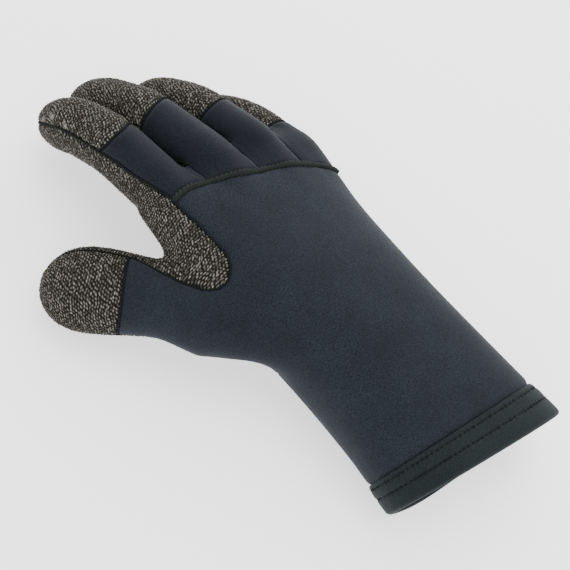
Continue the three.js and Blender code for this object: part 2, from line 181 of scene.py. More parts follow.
def prepareDigit(d):
    s = np.arange(-tableBack, d["length"] + tableAhead, tableStep)
    joints = (0, d["first"] * d["length"], (d["first"] + d["second"]) * d["length"])

    def heading(at):
        pitch = np.full_like(at, d["pitch"][0])
        for k, joint in enumerate(joints):
            step = d["pitch"][k + 1] - d["pitch"][k]
            pitch = pitch + step * ease((at - joint + bendSoftness) / (2 * bendSoftness))
        p, y = np.radians(pitch), np.radians(d["yaw"])
        return np.stack([np.sin(y) * np.cos(p), np.cos(y) * np.cos(p), -np.sin(p)], -1)

    walked = np.concatenate([np.zeros((1, 3)), np.cumsum(heading(s[:-1] + tableStep / 2), 0) * tableStep])
    root = np.array(d["root"]) * (glove["palmWidth"], glove["bodyLength"], glove["palmDepth"])
    zero = int(round(tableBack / tableStep))
    ahead = heading(s)
    y, r = np.radians(d["yaw"]), np.radians(d["roll"])
    flat = np.array([np.cos(y), -np.sin(y), 0.0])
    up = np.cross(flat, ahead)
    shares = d["taper"]
    keys = (-1, 0, d["first"], d["first"] + d["second"], 1)
    shape = smoothCurve(keys, (shares[0], *shares), s / d["length"])
    d.update(start=s[0], centre=walked - walked[zero] + root, ahead=ahead,
             side=np.cos(r) * flat - np.sin(r) * up, top=np.cos(r) * up + np.sin(r) * flat,
             across=d["width"] / 2 * shape, deep=d["depth"] / 2 * shape, tip=tipShare * d["depth"])


for digit in digits.values():
    prepareDigit(digit)


# Value of one of a digit's tables at distances s along it, drawn straight between its rows
def lookUp(d, key, s):
    table = d[key]
    at = np.clip((s - d["start"]) / tableStep, 0, len(table) - 1.001)
    i = at.astype(int)
    f = at - i
    if table.ndim == 2:
        f = f[..., None]
    return table[i] * (1 - f) + table[i + 1] * f


# How much a digit narrows at a distance s along it: 1, then a rounded tip
def tipRound(d, s):
    u = np.clip((s - d["length"] + d["tip"]) / d["tip"], 0, 1)
    return np.sqrt(np.maximum(1 - u**tipPower, 0))


# Point of a digit's skin: an ellipse about its centre line, at an angle from its top
def digitPoint(d, s, angle):
    r = tipRound(d, s)
    x = lookUp(d, "across", s) * r * np.sin(angle)
    z = lookUp(d, "deep", s) * r * np.cos(angle)
    return lookUp(d, "centre", s) + lookUp(d, "side", s) * x[..., None] + lookUp(d, "top", s) * z[..., None]


# Field of a digit at points p, with the nearest distance s along it and the angle from its top
def digitField(d, p):
    coarse = d["centre"][::coarseStep]
    away = ((p[..., None, :] - coarse) ** 2).sum(-1)
    s = d["start"] + tableStep * coarseStep * away.argmin(-1)
    top = d["length"] + tableAhead - 1
    for _ in range(4):
        step = ((p - lookUp(d, "centre", s)) * lookUp(d, "ahead", s)).sum(-1)
        s = np.clip(s + approach * step, d["start"], top)
    q = p - lookUp(d, "centre", s)
    a, b = lookUp(d, "across", s), lookUp(d, "deep", s)
    x, z = (q * lookUp(d, "side", s)).sum(-1), (q * lookUp(d, "top", s)).sum(-1)
    u = np.clip((s - d["length"] + d["tip"]) / d["tip"], 0, None)
    rho = np.sqrt((x / a) ** 2 + (z / b) ** 2 + u**tipPower)
    behind = np.maximum(-(q * lookUp(d, "ahead", s)).sum(-1), 0)
    field = (rho - 1) * (a + b) / 2 + behind
    return field, s, np.arctan2(x / a, z / b)


# Towards the hand a digit's tube grows slimmer and sinks in: from a place along it, by a rate.
# The folds between fingers fade from a place along them, over a length, to the least softness.
roots = dict(sinkThumb=2.0, sinkFinger=-3.0, sinkRate=0.17, fadeFrom=2.0, fadeLength=11.0, fadeLeast=0.04)


def rootSink(name, s):
    start = roots["sinkThumb"] if name == "thumb" else roots["sinkFinger"]
    return roots["sinkRate"] * np.maximum(start - s, 0)


# Field of the whole glove: body and digits joined with soft folds, which grow sharp past the
# roots of the fingers
def skinField(p, names=tuple(digits)):
    field = bodyField(p)[0]
    for name in names:
        own, s, _ = digitField(digits[name], p)
        own = own + rootSink(name, s)
        if name == "thumb":
            k = np.full_like(s, glove["thumbBlend"])
        else:
            fade = 1 - (s - roots["fadeFrom"]) / roots["fadeLength"]
            k = glove["fingerBlend"] * np.clip(fade, roots["fadeLeast"], 1)
        field = softMin(field, own, k)
    return field


# The field at points p and its slope, taken over short steps along the axes
def gradient(p, names=tuple(digits), step=0.15):
    here = skinField(p, names)
    there = [skinField(p + step * np.eye(3)[k], names) for k in range(3)]
    return here, np.stack([(f - here) / step for f in there], -1)


# Least slopes to divide by, which keep a step short where the field is nearly flat
leastSquare, leastRate = 0.05, 0.15


# Moves points to the skin, along the field's own slope or along given directions
def toSkin(p, names=tuple(digits), towards=None, rounds=4, most=4.0):
    for _ in range(rounds):
        here, slope = gradient(p, names)
        if towards is None:
            move = -here[..., None] * slope / np.maximum((slope**2).sum(-1), leastSquare)[..., None]
        else:
            rate = (slope * towards).sum(-1)
            rate = np.where(np.abs(rate) < leastRate, leastRate * np.where(rate < 0, -1, 1), rate)
            move = towards * (-here / rate)[..., None]
        size = np.linalg.norm(move, axis=-1, keepdims=True)
        p = p + move * np.minimum(1, most / np.maximum(size, 1e-9))
    return p


def skinNormal(p, names=tuple(digits)):
    return unit(gradient(p, names)[1])


# The knuckle seam in plan, from the thumb's side to the little finger: shares of palmWidth and
# bodyLength
knuckleLine = np.array([(-0.41, 0.927), (-0.3, 0.931), (-0.18, 0.915), (-0.02, 0.886),
                        (0.12, 0.867), (0.3, 0.834), (0.49, 0.79)])


def knuckleAt(x):
    return glove["bodyLength"] * smoothCurve(knuckleLine[:, 0], knuckleLine[:, 1], x / glove["palmWidth"])


print("shapes ready")


# Mesh work: meshes are arrays of points and triangles or quads, with columns of values beside
# the points
def gridFaces(rows, columns, wrap=False):
    i, j = np.meshgrid(np.arange(rows - 1), np.arange(columns if wrap else columns - 1), indexing="ij")
    a, b = i * columns + j, i * columns + (j + 1) % columns
    return np.stack([a, b, b + columns, a + columns], -1).reshape(-1, 4)


# Keeps the part of a triangle mesh where value is below zero, cutting triangles on the line
def keepBelow(points, tris, value):
    value = np.where(np.abs(value) < 1e-6, -1e-6, value)
    inside = value < 0
    count = inside[tris].sum(1)
    whole = tris[count == 3]
    cut = tris[(count == 1) | (count == 2)]
    one = inside[cut].sum(1) == 1
    odd = inside[cut] == one[:, None]
    first = odd.argmax(1)
    rows = np.arange(len(cut))
    a, b, c = (cut[rows, (first + k) % 3] for k in range(3))
    size = len(points)

    def crossing(u, v):
        low, high = np.minimum(u, v), np.maximum(u, v)
        return low.astype(np.int64) * size + high

    keys = np.concatenate([crossing(a, b), crossing(a, c)])
    unique, place = np.unique(keys, return_inverse=True)
    low, high = unique // size, unique % size
    t = (value[low] / (value[low] - value[high]))[:, None]
    points = np.concatenate([points, points[low] * (1 - t) + points[high] * t])
    ab, ac = size + place[:len(cut)], size + place[len(cut):]
    two = ~one
    tris = np.concatenate([
        whole, np.stack([a, ab, ac], 1)[one],
        np.stack([ab, b, c], 1)[two], np.stack([ab, c, ac], 1)[two]])
    used, place = np.unique(tris, return_inverse=True)
    return points[used], place.reshape(-1, 3)


# Splits each triangle into four at the middles of its edges
def subdivide(points, tris):
    size = len(points)
    edges = np.concatenate([tris[:, [0, 1]], tris[:, [1, 2]], tris[:, [2, 0]]])
    keys = edges.min(1).astype(np.int64) * size + edges.max(1)
    unique, place = np.unique(keys, return_inverse=True)
    points = np.concatenate([points, (points[unique // size] + points[unique % size]) / 2])
    ab, bc, ca = (size + part for part in np.split(place, 3))
    a, b, c = tris.T
    tris = np.concatenate([np.stack(t, 1) for t in ((a, ab, ca), (ab, b, bc), (ca, bc, c), (ab, bc, ca))])
    return points, tris


def triangulate(quads):
    return np.concatenate([quads[:, [0, 1, 2]], quads[:, [0, 2, 3]]])


# Normals at a mesh's points, the mean of its triangles' normals weighted by their areas
def meshNormals(points, tris):
    a, b, c = (points[tris[:, k]] for k in range(3))
    face = np.cross(b - a, c - a)
    normals = np.zeros_like(points)
    for k in range(3):
        np.add.at(normals, tris[:, k], face)
    return unit(normals)


millimetre = 0.001


def toFrame(points):
    return (points + glove["place"]) * millimetre


# Puts a mesh into the scene: points in the glove's axes, faces as rows of 3 or 4
def addMesh(name, points, faces, material, values=None):
    mesh = bpy.data.meshes.new(name)
    points = toFrame(points)
    corners = np.concatenate([f.ravel() for f in faces]).astype(np.int32)
    sizes = np.concatenate([np.full(len(f), f.shape[1]) for f in faces]).astype(np.int32)
    mesh.vertices.add(len(points))
    mesh.vertices.foreach_set("co", points.astype(np.float32).ravel())
    mesh.loops.add(len(corners))
    mesh.loops.foreach_set("vertex_index", corners)
    mesh.polygons.add(len(sizes))
    mesh.polygons.foreach_set("loop_start", np.concatenate([[0], np.cumsum(sizes)[:-1]]).astype(np.int32))
    mesh.polygons.foreach_set("loop_total", sizes)
    mesh.update(calc_edges=True)
    mesh.validate()
    mesh.polygons.foreach_set("use_smooth", np.full(len(mesh.polygons), True))
    for key, data in (values or {}).items():
        mesh.attributes.new(key, "FLOAT", "POINT").data.foreach_set("value", data.astype(np.float32))
    mesh.materials.append(material)
    obj = bpy.data.objects.new(name, mesh)
    bpy.context.scene.collection.objects.link(obj)
    return obj


# Closes an outer skin and its inner wall, point for point, with a rim round every open edge
def shellFaces(faces, size):
    pairs = np.concatenate([np.stack([f[:, k], f[:, (k + 1) % f.shape[1]]], 1)
                            for f in faces for k in range(f.shape[1])]).astype(np.int64)
    keys = pairs[:, 0] * size + pairs[:, 1]
    back = pairs[:, 1] * size + pairs[:, 0]
    edge = pairs[~np.isin(keys, back)]
    rim = np.stack([edge[:, 1], edge[:, 0], edge[:, 0] + size, edge[:, 1] + size], 1)
    return [*faces, *[f[:, ::-1] + size for f in faces], rim]


# The hand's skin: body, thumb and the roots of the fingers flow into one another, which is
# more than one grid of two parameters gives. Their closed tubes are joined on a voxel grid
# and every point near the skin is then moved to the skin's field.
hand = dict(
    voxel=1.62, sides=72, ring=2.5,   # cell of the voxel grid, and fineness of the tubes
    tipRings=12, tipTurn=(0.1, 1.5),  # rings over a rounded tip, as a sine from one angle to another
    bodyStart=9.0, fingerEnd=16.0,    # where the body's tube begins and the fingers' tubes end
    near=4.0, most=3.0)               # points this near the skin go to it, by so much at a time


# Fans that close a tube of so many rings on the two points that follow its own
def tubeEnds(rows, columns):
    j = np.arange(columns)
    k = (j + 1) % columns
    start, last = rows * columns, (rows - 1) * columns
    return np.concatenate([np.stack([np.full(columns, start), k, j], 1),
                           np.stack([np.full(columns, start + 1), last + j, last + k], 1)])


# A tube through rings of points, closed at both ends on the rings' middles
def closedTube(rings):
    rows, columns = rings.shape[:2]
    points = np.concatenate([rings.reshape(-1, 3), rings[:1].mean(1), rings[-1:].mean(1)])
    faces = triangulate(gridFaces(rows, columns, wrap=True))
    return points, np.concatenate([faces, tubeEnds(rows, columns)])


# Rings of a tube between two distances along it; over a rounded tip they follow a sine, so
# that they grow close at its end
def tubeRings(pointAt, low, high, tip=None):
    s = np.arange(low, high, hand["ring"])
    if tip:
        over = np.sin(np.linspace(*hand["tipTurn"], hand["tipRings"]))
        s = np.concatenate([s[s < high - tip], high - tip * (1 - over)])
    return pointAt(*np.meshgrid(s, fullTurn(hand["sides"]), indexing="ij"))


# One mesh from several (points, faces)
def joinMeshes(parts):
    starts = np.cumsum([0] + [len(points) for points, _ in parts])
    points = np.concatenate([points for points, _ in parts])
    return points, np.concatenate([faces + start for (_, faces), start in zip(parts, starts)])


# Point of the thumb's tube, sunk behind its root as in the hand's field
def sunkThumb(s, angle):
    d = digits["thumb"]
    point, centre = digitPoint(d, s, angle), lookUp(d, "centre", s)
    return point - unit(point - centre) * rootSink("thumb", s)[..., None]


def joinedSkin():
    tubes = [closedTube(tubeRings(bodyPoint, hand["bodyStart"], glove["bodyLength"]))]
    for name, d in digits.items():
        if name == "thumb":
            rings = tubeRings(sunkThumb, -d["behind"], d["length"], d["tip"])
        else:
            rings = tubeRings(lambda s, a: digitPoint(d, s, a), -d["behind"], hand["fingerEnd"])
        tubes.append(closedTube(rings))
    points, faces = joinMeshes(tubes)
    mesh = bpy.data.meshes.new("tubes")
    mesh.from_pydata(points.tolist(), [], faces.tolist())
    obj = bpy.data.objects.new("tubes", mesh)
    bpy.context.scene.collection.objects.link(obj)
    remesh = obj.modifiers.new("join", "REMESH")
    remesh.mode, remesh.voxel_size = "VOXEL", hand["voxel"]
    made = obj.evaluated_get(bpy.context.evaluated_depsgraph_get()).to_mesh()
    skin = np.zeros(len(made.vertices) * 3)
    made.vertices.foreach_get("co", skin)
    made.calc_loop_triangles()
    tris = np.zeros(len(made.loop_triangles) * 3, int)
    made.loop_triangles.foreach_get("vertices", tris)
    bpy.data.objects.remove(obj)
    skin, tris = skin.reshape(-1, 3), tris.reshape(-1, 3)
    outer = np.abs(skinField(skin)) < hand["near"]   # leaves the tubes' flat ends where they are
    skin[outer] = toSkin(skin[outer], rounds=4, most=hand["most"])
    return skin, tris


skinPoints, skinTris = joinedSkin()
print("joined skin:", len(skinPoints), "points")

# Fields over the joined skin, from which its panels are cut
bodyAway, alongBody, angleBody = bodyField(skinPoints)
digitAway, digitAlong, digitAngle = {}, {}, {}
for name, digit in digits.items():
    digitAway[name], digitAlong[name], digitAngle[name] = digitField(digit, skinPoints)

# Outline in plan of the knit that comes over the back of the hand between index finger and
# thumb, in mm from the glove's axes
lobeOutline = np.array([
    (-38.9, 172.0), (-38.9, 155.4), (-37.6, 144.3), (-36.4, 132.2), (-36.5, 126.3), (-39.0, 121.8),
    (-41.2, 119.9), (-43.7, 119.1), (-46.5, 119.6), (-49.2, 121.6), (-51.4, 124.5), (-52.3, 127.6),
    (-54.0, 132.3), (-54.8, 137.5), (-55.8, 142.8), (-56.3, 146.2), (-56.5, 150.1), (-57.3, 152.4),
    (-58.1, 155.6), (-58.9, 157.8), (-61.0, 166.0)])


# A smooth line through points, each stretch a cubic with slopes from the neighbours
def smoothLine(points, spacing):
    run = runAlong(points)
    at = np.linspace(0, run[-1], int(run[-1] / spacing) + 1)
    return np.stack([smoothCurve(run, points[:, k], at) for k in range(points.shape[1])], 1)


# Distance in plan to an outline, negative inside it
def outlineDistance(outline, x, y):
    a, b = outline, np.roll(outline, -1, axis=0)
    best = np.full(x.shape, 1e9)
    inside = np.zeros(x.shape, bool)
    for (ax, ay), (bx, by) in zip(a, b):
        dx, dy = bx - ax, by - ay
        t = np.clip(((x - ax) * dx + (y - ay) * dy) / max(dx * dx + dy * dy, 1e-9), 0, 1)
        best = np.minimum(best, np.hypot(x - ax - t * dx, y - ay - t * dy))
        if ay != by:
            inside ^= ((ay > y) != (by > y)) & (x < ax + (y - ay) / (by - ay) * dx)
    return np.where(inside, -best, best)


# The side seams: radial and ulnar are their angles round the body in degrees, thumbEdge round
# the thumb. Under the thumb the seam has a height and a side, shares of palmDepth and palmWidth.
seams = dict(radial=-112.0, ulnar=95.0, thumbHeight=0.4, thumbSide=-0.79, thumbEdge=-99.0)


# Height of the side seams over x: straight from the thumb to the radial edge, then to the ulnar
def seamHeight(x, along):
    radial = bodyPoint(along, np.full_like(x, np.radians(seams["radial"])))
    ulnar = bodyPoint(along, np.full_like(x, np.radians(seams["ulnar"])))
    thumbX, thumbZ = seams["thumbSide"] * glove["palmWidth"], seams["thumbHeight"] * glove["palmDepth"]
    t = np.clip((x - thumbX) / (radial[..., 0] - thumbX), 0, 1)
    u = np.clip((x - radial[..., 0]) / (ulnar[..., 0] - radial[..., 0]), 0, 1)
    return mix(mix(thumbZ, radial[..., 2], t), ulnar[..., 2], u)


def wrapAngle(a):
    return (a + np.pi) % (2 * np.pi) - np.pi


rootLine = dict(front=7.0, thumbFront=15.0)   # where the fingers' and thumb's own fronts begin

# Edges of each finger's back panel: (mm along, degrees from the top) on the thumb's side and
# on the far side, and the fingertip seam: (degrees from the top, mm along)
backEdges = dict(
    index=dict(low=[(-8, -24), (-6, -25), (1.6, -37), (11.7, -47), (23.6, -53), (33.7, -62)],
               high=[(0, 84), (80, 84)],
               cap=[(-64, 33.7), (-40, 31.9), (-15, 31.7), (13, 32.2), (56, 36.2), (84, 37.5)]),
    middle=dict(low=[(0, -84), (80, -84)], high=[(0, 84), (80, 84)],
                cap=[(-84, 32.0), (-21, 33.4), (6, 34.6), (42, 37.2), (84, 38.6)]),
    ring=dict(low=[(0, -84), (80, -84)], high=[(0, 84), (80, 84)],
              cap=[(-84, 24.0), (-18, 23.5), (32, 25.4), (84, 27)]),
    little=dict(low=[(0, -84), (80, -84)], high=[(-8, 104), (2, 96), (14, 72), (80, 70)],
                cap=[(-84, 13.8), (-12, 12.4), (22, 12.7), (70, 13.4)]),
)
# The thumb's cap: its seam as (degrees from the top, mm along) and its two side edges in degrees
thumbCap = [(-99, 38.6), (-52, 36.6), (-22, 36.3), (13, 36.9), (49, 38.0), (58, 38.4)]
thumbWedge = (-99.0, 57.0)


# Value at x of a table of two columns
def table(rows, x):
    rows = np.array(rows, float)
    return smoothCurve(rows[:, 0], rows[:, 1], x)


print("panel lines ready")

# How the panels' lines are laid over the joined skin, mm
laid = dict(
    spacing=1.2,                # of the points on the lobe's outline
    seamRadius=16.0,            # radii that turn angles into mm: at the thumb's side seam,
    capRadius=15.0,             # at its cap
    fingerRadius=12.5,          # and at a finger's back
    ontoThumb=(4.0, 14.0),      # where along the thumb its own seam takes over, and the span
    besideThumb=(4.0, -6.0),    # the same from the thumb's skin towards the hand's
    ontoCap=(31.0, 6.0),        # where along the thumb the cap's edges take over
    rootsFrom=140.0,            # y from which the fingers' own fronts are looked for
    never=-20.0)                # a distance that cuts nothing away

lobe = outlineDistance(smoothLine(lobeOutline, laid["spacing"]), skinPoints[:, 0], skinPoints[:, 1])
upper = skinPoints[:, 2] - seamHeight(skinPoints[:, 0], alongBody)
thumbAngle, thumbAlong = digitAngle["thumb"], digitAlong["thumb"]
handAway = np.minimum(bodyAway, np.min([digitAway[n] for n in fingers], 0))
ownThumb = digitAway["thumb"] - handAway
besideThumb = easeFrom(ownThumb, *laid["besideThumb"])
outerTurn = wrapAngle(thumbAngle - np.radians(seams["thumbEdge"]) - np.pi / 2) + np.pi / 2
outerSide = np.where(outerTurn > np.pi, -1, 1)
outerSeam = outerSide * np.minimum(outerTurn, 2 * np.pi - outerTurn) * laid["seamRadius"]
onThumb = easeFrom(thumbAlong, *laid["ontoThumb"]) * besideThumb
capLine = thumbAlong - table(thumbCap, np.degrees(thumbAngle))
wedgeMiddle, wedgeHalf = np.radians(sum(thumbWedge) / 2), np.radians(thumbWedge[1] - thumbWedge[0]) / 2
wedge = (wedgeHalf - np.abs(wrapAngle(thumbAngle - wedgeMiddle))) * laid["capRadius"]
onCap = easeFrom(thumbAlong, *laid["ontoCap"]) * besideThumb
topSide = mix(np.minimum(mix(upper, outerSeam, onThumb), lobe), wedge, onCap)
capBeyond = np.minimum(capLine, -ownThumb)
frontThumb = np.minimum(thumbAlong - rootLine["thumbFront"], -ownThumb)
beyondKnuckles = skinPoints[:, 1] - knuckleAt(skinPoints[:, 0])

nearest = np.argmin([digitAway[n] for n in fingers], 0)


# Of values for all fingers, those of the nearest finger at each point
def ofNearest(values):
    return np.stack(values)[nearest, np.arange(len(nearest))]


fingerAlong = ofNearest([digitAlong[n] for n in fingers])
fingerAngle = np.degrees(ofNearest([digitAngle[n] for n in fingers]))
lowEdge = ofNearest([table(backEdges[n]["low"], fingerAlong) for n in fingers])
highEdge = ofNearest([table(backEdges[n]["high"], fingerAlong) for n in fingers])
backWedge = np.radians(np.minimum(fingerAngle - lowEdge, highEdge - fingerAngle)) * laid["fingerRadius"]
byFingers = (skinPoints[:, 1] > laid["rootsFrom"]) & (ownThumb >= 0)
pastRoots = np.where(byFingers, fingerAlong - rootLine["front"], laid["never"])
aroundBody = np.where(angleBody < 0, angleBody + 2 * np.pi, angleBody)
aroundThumb = np.where(thumbAngle < 0, thumbAngle + 2 * np.pi, thumbAngle)
fields = dict(along=alongBody, around=aroundBody, thumbAlong=thumbAlong, thumbAngle=thumbAngle,
              aroundThumb=aroundThumb, topSide=topSide, capBeyond=capBeyond, knuckle=beyondKnuckles,
              backWedge=backWedge)


# The largest connected part of a triangle mesh: every point takes the lowest number that its
# edges reach, until nothing changes
def largestPart(columns, tris):
    group = np.arange(len(columns))
    while True:
        low = group[tris].min(1)
        before = group.copy()
        for k in range(3):
            np.minimum.at(group, tris[:, k], low)
        group = group[group]
        if (group == before).all():
            break
    names, count = np.unique(group[tris[:, 0]], return_counts=True)
    tris = tris[group[tris[:, 0]] == names[count.argmax()]]
    used, tris = np.unique(tris, return_inverse=True)
    return columns[used], tris.reshape(-1, 3)


skinNormals = meshNormals(skinPoints, skinTris)


# Cuts a panel from the joined skin where every rule is below zero. Gives its points, triangles,
# fields at the points and normals there.
def cutPanel(rules):
    columns = np.column_stack([skinPoints, skinNormals, *fields.values(), *rules])
    tris = skinTris
    for k in range(len(rules)):
        columns, tris = keepBelow(columns, tris, columns[:, 6 + len(fields) + k])
    columns, tris = largestPart(columns, tris)
    at = dict(zip(fields, columns[:, 6:6 + len(fields)].T))
    return columns[:, :3], tris, at, unit(columns[:, 3:6])


# How deep a panel's edge is drawn into its seam and over what width, mm
edgeRoll = dict(neoprene=(0.95, 1.25), knit=(0.9, 1.1))


# How far a panel's edge is drawn down at a distance from the seam: a bell curve
def rollDown(distance, cloth):
    depth, width = edgeRoll[cloth]
    return -depth * np.exp(-(np.maximum(distance, 0) / width) ** 2)


# Loop pile knit: rows of short raised loops, every other row shifted by half a loop
knit = dict(
    wale=1.6, course=1.14,                # spacing of the loops along a row, and of the rows
    lift=0.55, long=0.78, thick=0.36,     # a loop's height and half its length and thickness
    shortest=0.6, lowest=0.5, spread=0.6, # least shares of length and height, spread above them
    square=2.4, steep=1.25,               # powers of its bell: squarer ends, steeper flanks
    tilt=1.25, lean=0.3,                  # spread and middle of the loops' slant, radians
    curl=0.3,                             # how much a loop bends sideways
    stray=(0.3, 0.34), rowShift=0.3,      # how far loops and rows stray, in shares of a cell
    sink=0.42,                            # how far the ground lies below the skin
    sway=((0.4, 3.1), (0.25, 1.3)),       # waves along the rows: height, length
    drift=((0.5, 4.3), (0.22, 1.7)),      # waves across them, the quick one lagging by v
    driftLag=3.7,
    puff=0.35, puffWidth=2.5)             # swelling of the cloth away from its seams
scatter = (12.9898, 78.233, 37.719, 43758.5453)   # uneven numbers that spread the values
# Salts, so that no two panels have the same loops
salts = dict(palm=3.0, thumbFront=11.0, thumbCap=19.0, fingerCaps=23.0, fingerFronts=41.0)


# An even scatter of values from 0 to 1 for whole numbers i, j and a salt
def chance(i, j, salt):
    value = np.sin(i * scatter[0] + j * scatter[1] + salt * scatter[2]) * scatter[3]
    return value - np.floor(value)


def wave(x, height, length, phase=0.0):
    return height * np.sin(x / length + phase)


# Height of the knit in mm, each point's share of a loop and its loop's tone. u runs along a row
# and v across the rows, in mm; each loop is a bell of two powers, long and thin, on a slant.
def knitLoops(u, v, salt):
    slow, quick = knit["sway"]
    u = u + wave(v, *slow, salt) + wave(v, *quick)
    slow, quick = knit["drift"]
    v = v + wave(u, *slow, 2 * salt) + wave(u, *quick, v / knit["driftLag"])
    j = np.floor(v / knit["course"])
    y = v / knit["course"] - j - 0.5
    across = u / knit["wale"] + 0.5 * (j % 2) + knit["rowShift"] * chance(j, 0.0, salt)
    i = np.floor(across)
    x = across - i - 0.5
    r = [chance(i, j, salt + k) for k in range(1, 7)]
    x = (x + knit["stray"][0] * (r[0] - 0.5)) * knit["wale"]
    y = (y + knit["stray"][1] * (r[1] - 0.5)) * knit["course"]
    tilt = knit["tilt"] * (r[2] - 0.5) + knit["lean"]
    along = x * np.cos(tilt) + y * np.sin(tilt)
    over = -x * np.sin(tilt) + y * np.cos(tilt) + knit["curl"] * along**2
    long = knit["long"] * (knit["shortest"] + knit["spread"] * r[3])
    reach = (np.abs(along) / long) ** knit["square"] + (over / knit["thick"]) ** 2
    loop = np.exp(-(reach ** knit["steep"]))
    height = knit["lift"] * loop * (knit["lowest"] + knit["spread"] * r[4]) - knit["sink"]
    return height, loop, r[5]


# Rise of a knit panel's face: its loops, a swelling away from the seam and the rolled edge
def knitRise(height, edge):
    swell = knit["puff"] * (1 - np.exp(-(np.maximum(edge, 0) / knit["puffWidth"]) ** 2))
    return height + swell + rollDown(edge, "knit")


print("knit ready")


# Edges of a triangle mesh that only one triangle has
def rimEdges(tris, size):
    pairs = np.concatenate([tris[:, [0, 1]], tris[:, [1, 2]], tris[:, [2, 0]]]).astype(np.int64)
    keys, back = pairs[:, 0] * size + pairs[:, 1], pairs[:, 1] * size + pairs[:, 0]
    return pairs[~np.isin(keys, back)]


# Splits a panel's triangles twice and keeps the chain of new points along its rim
def refineTwice(columns, tris):
    edges = rimEdges(tris, len(columns))
    chain = [edges[:, 0], edges[:, 1]]
    for _ in range(2):
        size = len(columns)
        pairs = np.concatenate([tris[:, [0, 1]], tris[:, [1, 2]], tris[:, [2, 0]]])
        unique = np.unique(pairs.min(1).astype(np.int64) * size + pairs.max(1))
        columns, tris = subdivide(columns, tris)
        split = [chain[0]]
        for a, b in zip(chain, chain[1:]):
            key = np.minimum(a, b).astype(np.int64) * size + np.maximum(a, b)
            split += [size + np.searchsorted(unique, key), b]
        chain = split
    return columns, tris, chain, edges


# A colour of the screen, 0 to 255, in the light's own scale
def colour(r, g, b):
    return tuple((c / 255) ** 2.2 for c in (r, g, b)) + (1.0,)


# A new material with its nodes, its links and its shader
def newMaterial(name):
    material = bpy.data.materials.new(name)
    material.use_nodes = True
    nodes, links = material.node_tree.nodes, material.node_tree.links
    return material, nodes, links, nodes["Principled BSDF"]


def setInputs(node, values):
    for key, value in values.items():
        node.inputs[key].default_value = value


# Noise over the object's own coordinates
def noise(nodes, links, **inputs):
    node = nodes.new("ShaderNodeTexNoise")
    links.new(nodes.new("ShaderNodeTexCoord").outputs["Object"], node.inputs["Vector"])
    setInputs(node, inputs)
    return node.outputs["Fac"]


# A mix of two colours, each a value or another node's output
def mixed(nodes, links, factor, low, high):
    node = nodes.new("ShaderNodeMix")
    node.data_type = "RGBA"
    for value, socket in ((factor, node.inputs[0]), (low, node.inputs[6]), (high, node.inputs[7])):
        if isinstance(value, bpy.types.NodeSocket):
            links.new(value, socket)
        else:
            socket.default_value = value
    return node.outputs[2]


# A value's range from low to high, spread to run from 0 to 1
def ramp(nodes, links, value, low, high):
    node = nodes.new("ShaderNodeMapRange")
    links.new(value, node.inputs["Value"])
    setInputs(node, {"From Min": low, "From Max": high})
    return node.outputs["Result"]


def bumped(nodes, links, shader, height, strength, distance):
    bump = nodes.new("ShaderNodeBump")
    setInputs(bump, {"Strength": strength, "Distance": distance})
    links.new(height, bump.inputs["Height"])
    links.new(bump.outputs["Normal"], shader.inputs["Normal"])


# Jersey laminated on neoprene: a fine even grain, a little mottled, with the cloth's soft sheen
jersey = dict(light=colour(43, 48, 56), dark=colour(20, 23, 28), grain=1900.0, mottle=55.0,
              contrast=(0.3, 0.7),              # range of the noise that shows
              mottleShare=0.35, deepShare=0.82, # strength of the mottle, and how dark it goes
              rough=0.8, sheen=0.07, sheenRough=0.5, sheenTint=(0.85, 0.92, 1.0, 1.0),
              shine=0.1, bump=0.4, bumpDepth=0.00035)


def jerseyMaterial(name, light, dark):
    material, nodes, links, shader = newMaterial(name)
    fine = noise(nodes, links, Scale=jersey["grain"], Detail=2.0, Roughness=0.6)
    mottle = noise(nodes, links, Scale=jersey["mottle"], Detail=3.0)
    grain = ramp(nodes, links, fine, *jersey["contrast"])
    cloudy = ramp(nodes, links, mottle, *jersey["contrast"])
    tone = mixed(nodes, links, grain, dark, light)
    deep = tuple(jersey["deepShare"] * c for c in dark[:3]) + (1.0,)
    worn = nodes.new("ShaderNodeMath")
    worn.operation = "MULTIPLY"
    worn.inputs[1].default_value = jersey["mottleShare"]
    links.new(cloudy, worn.inputs[0])
    links.new(mixed(nodes, links, worn.outputs[0], tone, deep), shader.inputs["Base Color"])
    setInputs(shader, {
        "Roughness": jersey["rough"], "Sheen Weight": jersey["sheen"],
        "Sheen Roughness": jersey["sheenRough"], "Sheen Tint": jersey["sheenTint"],
        "Specular IOR Level": jersey["shine"]})
    bumped(nodes, links, shader, fine, jersey["bump"], jersey["bumpDepth"])
    return material


handJersey = jerseyMaterial("hand_jersey", jersey["light"], jersey["dark"])
# Darker copy of the hand's jersey for the finger backs: its lower tones are painted shade, the shade that
# the fingers' sloping backs take
shadedFingerJersey = jerseyMaterial("finger_jersey_painted_shade", colour(34, 37, 44), colour(15, 17, 22))
hemJersey = jerseyMaterial("hem_jersey", colour(38, 45, 46), colour(20, 25, 26))

# Cut-resistant loop knit: light yarn of each loop over a near-black ground, frayed by fine noise
loopKnit = dict(ground=colour(29, 27, 24), dull=colour(80, 77, 70), light=colour(146, 142, 133),
                fibre=5200.0, frayed=0.55,
                loopRange=(0.25, 0.85), toneRange=(0.1, 0.95), fibreRange=(0.35, 0.7),
                rough=0.9, shine=0.15, bump=0.4, bumpDepth=0.0003)


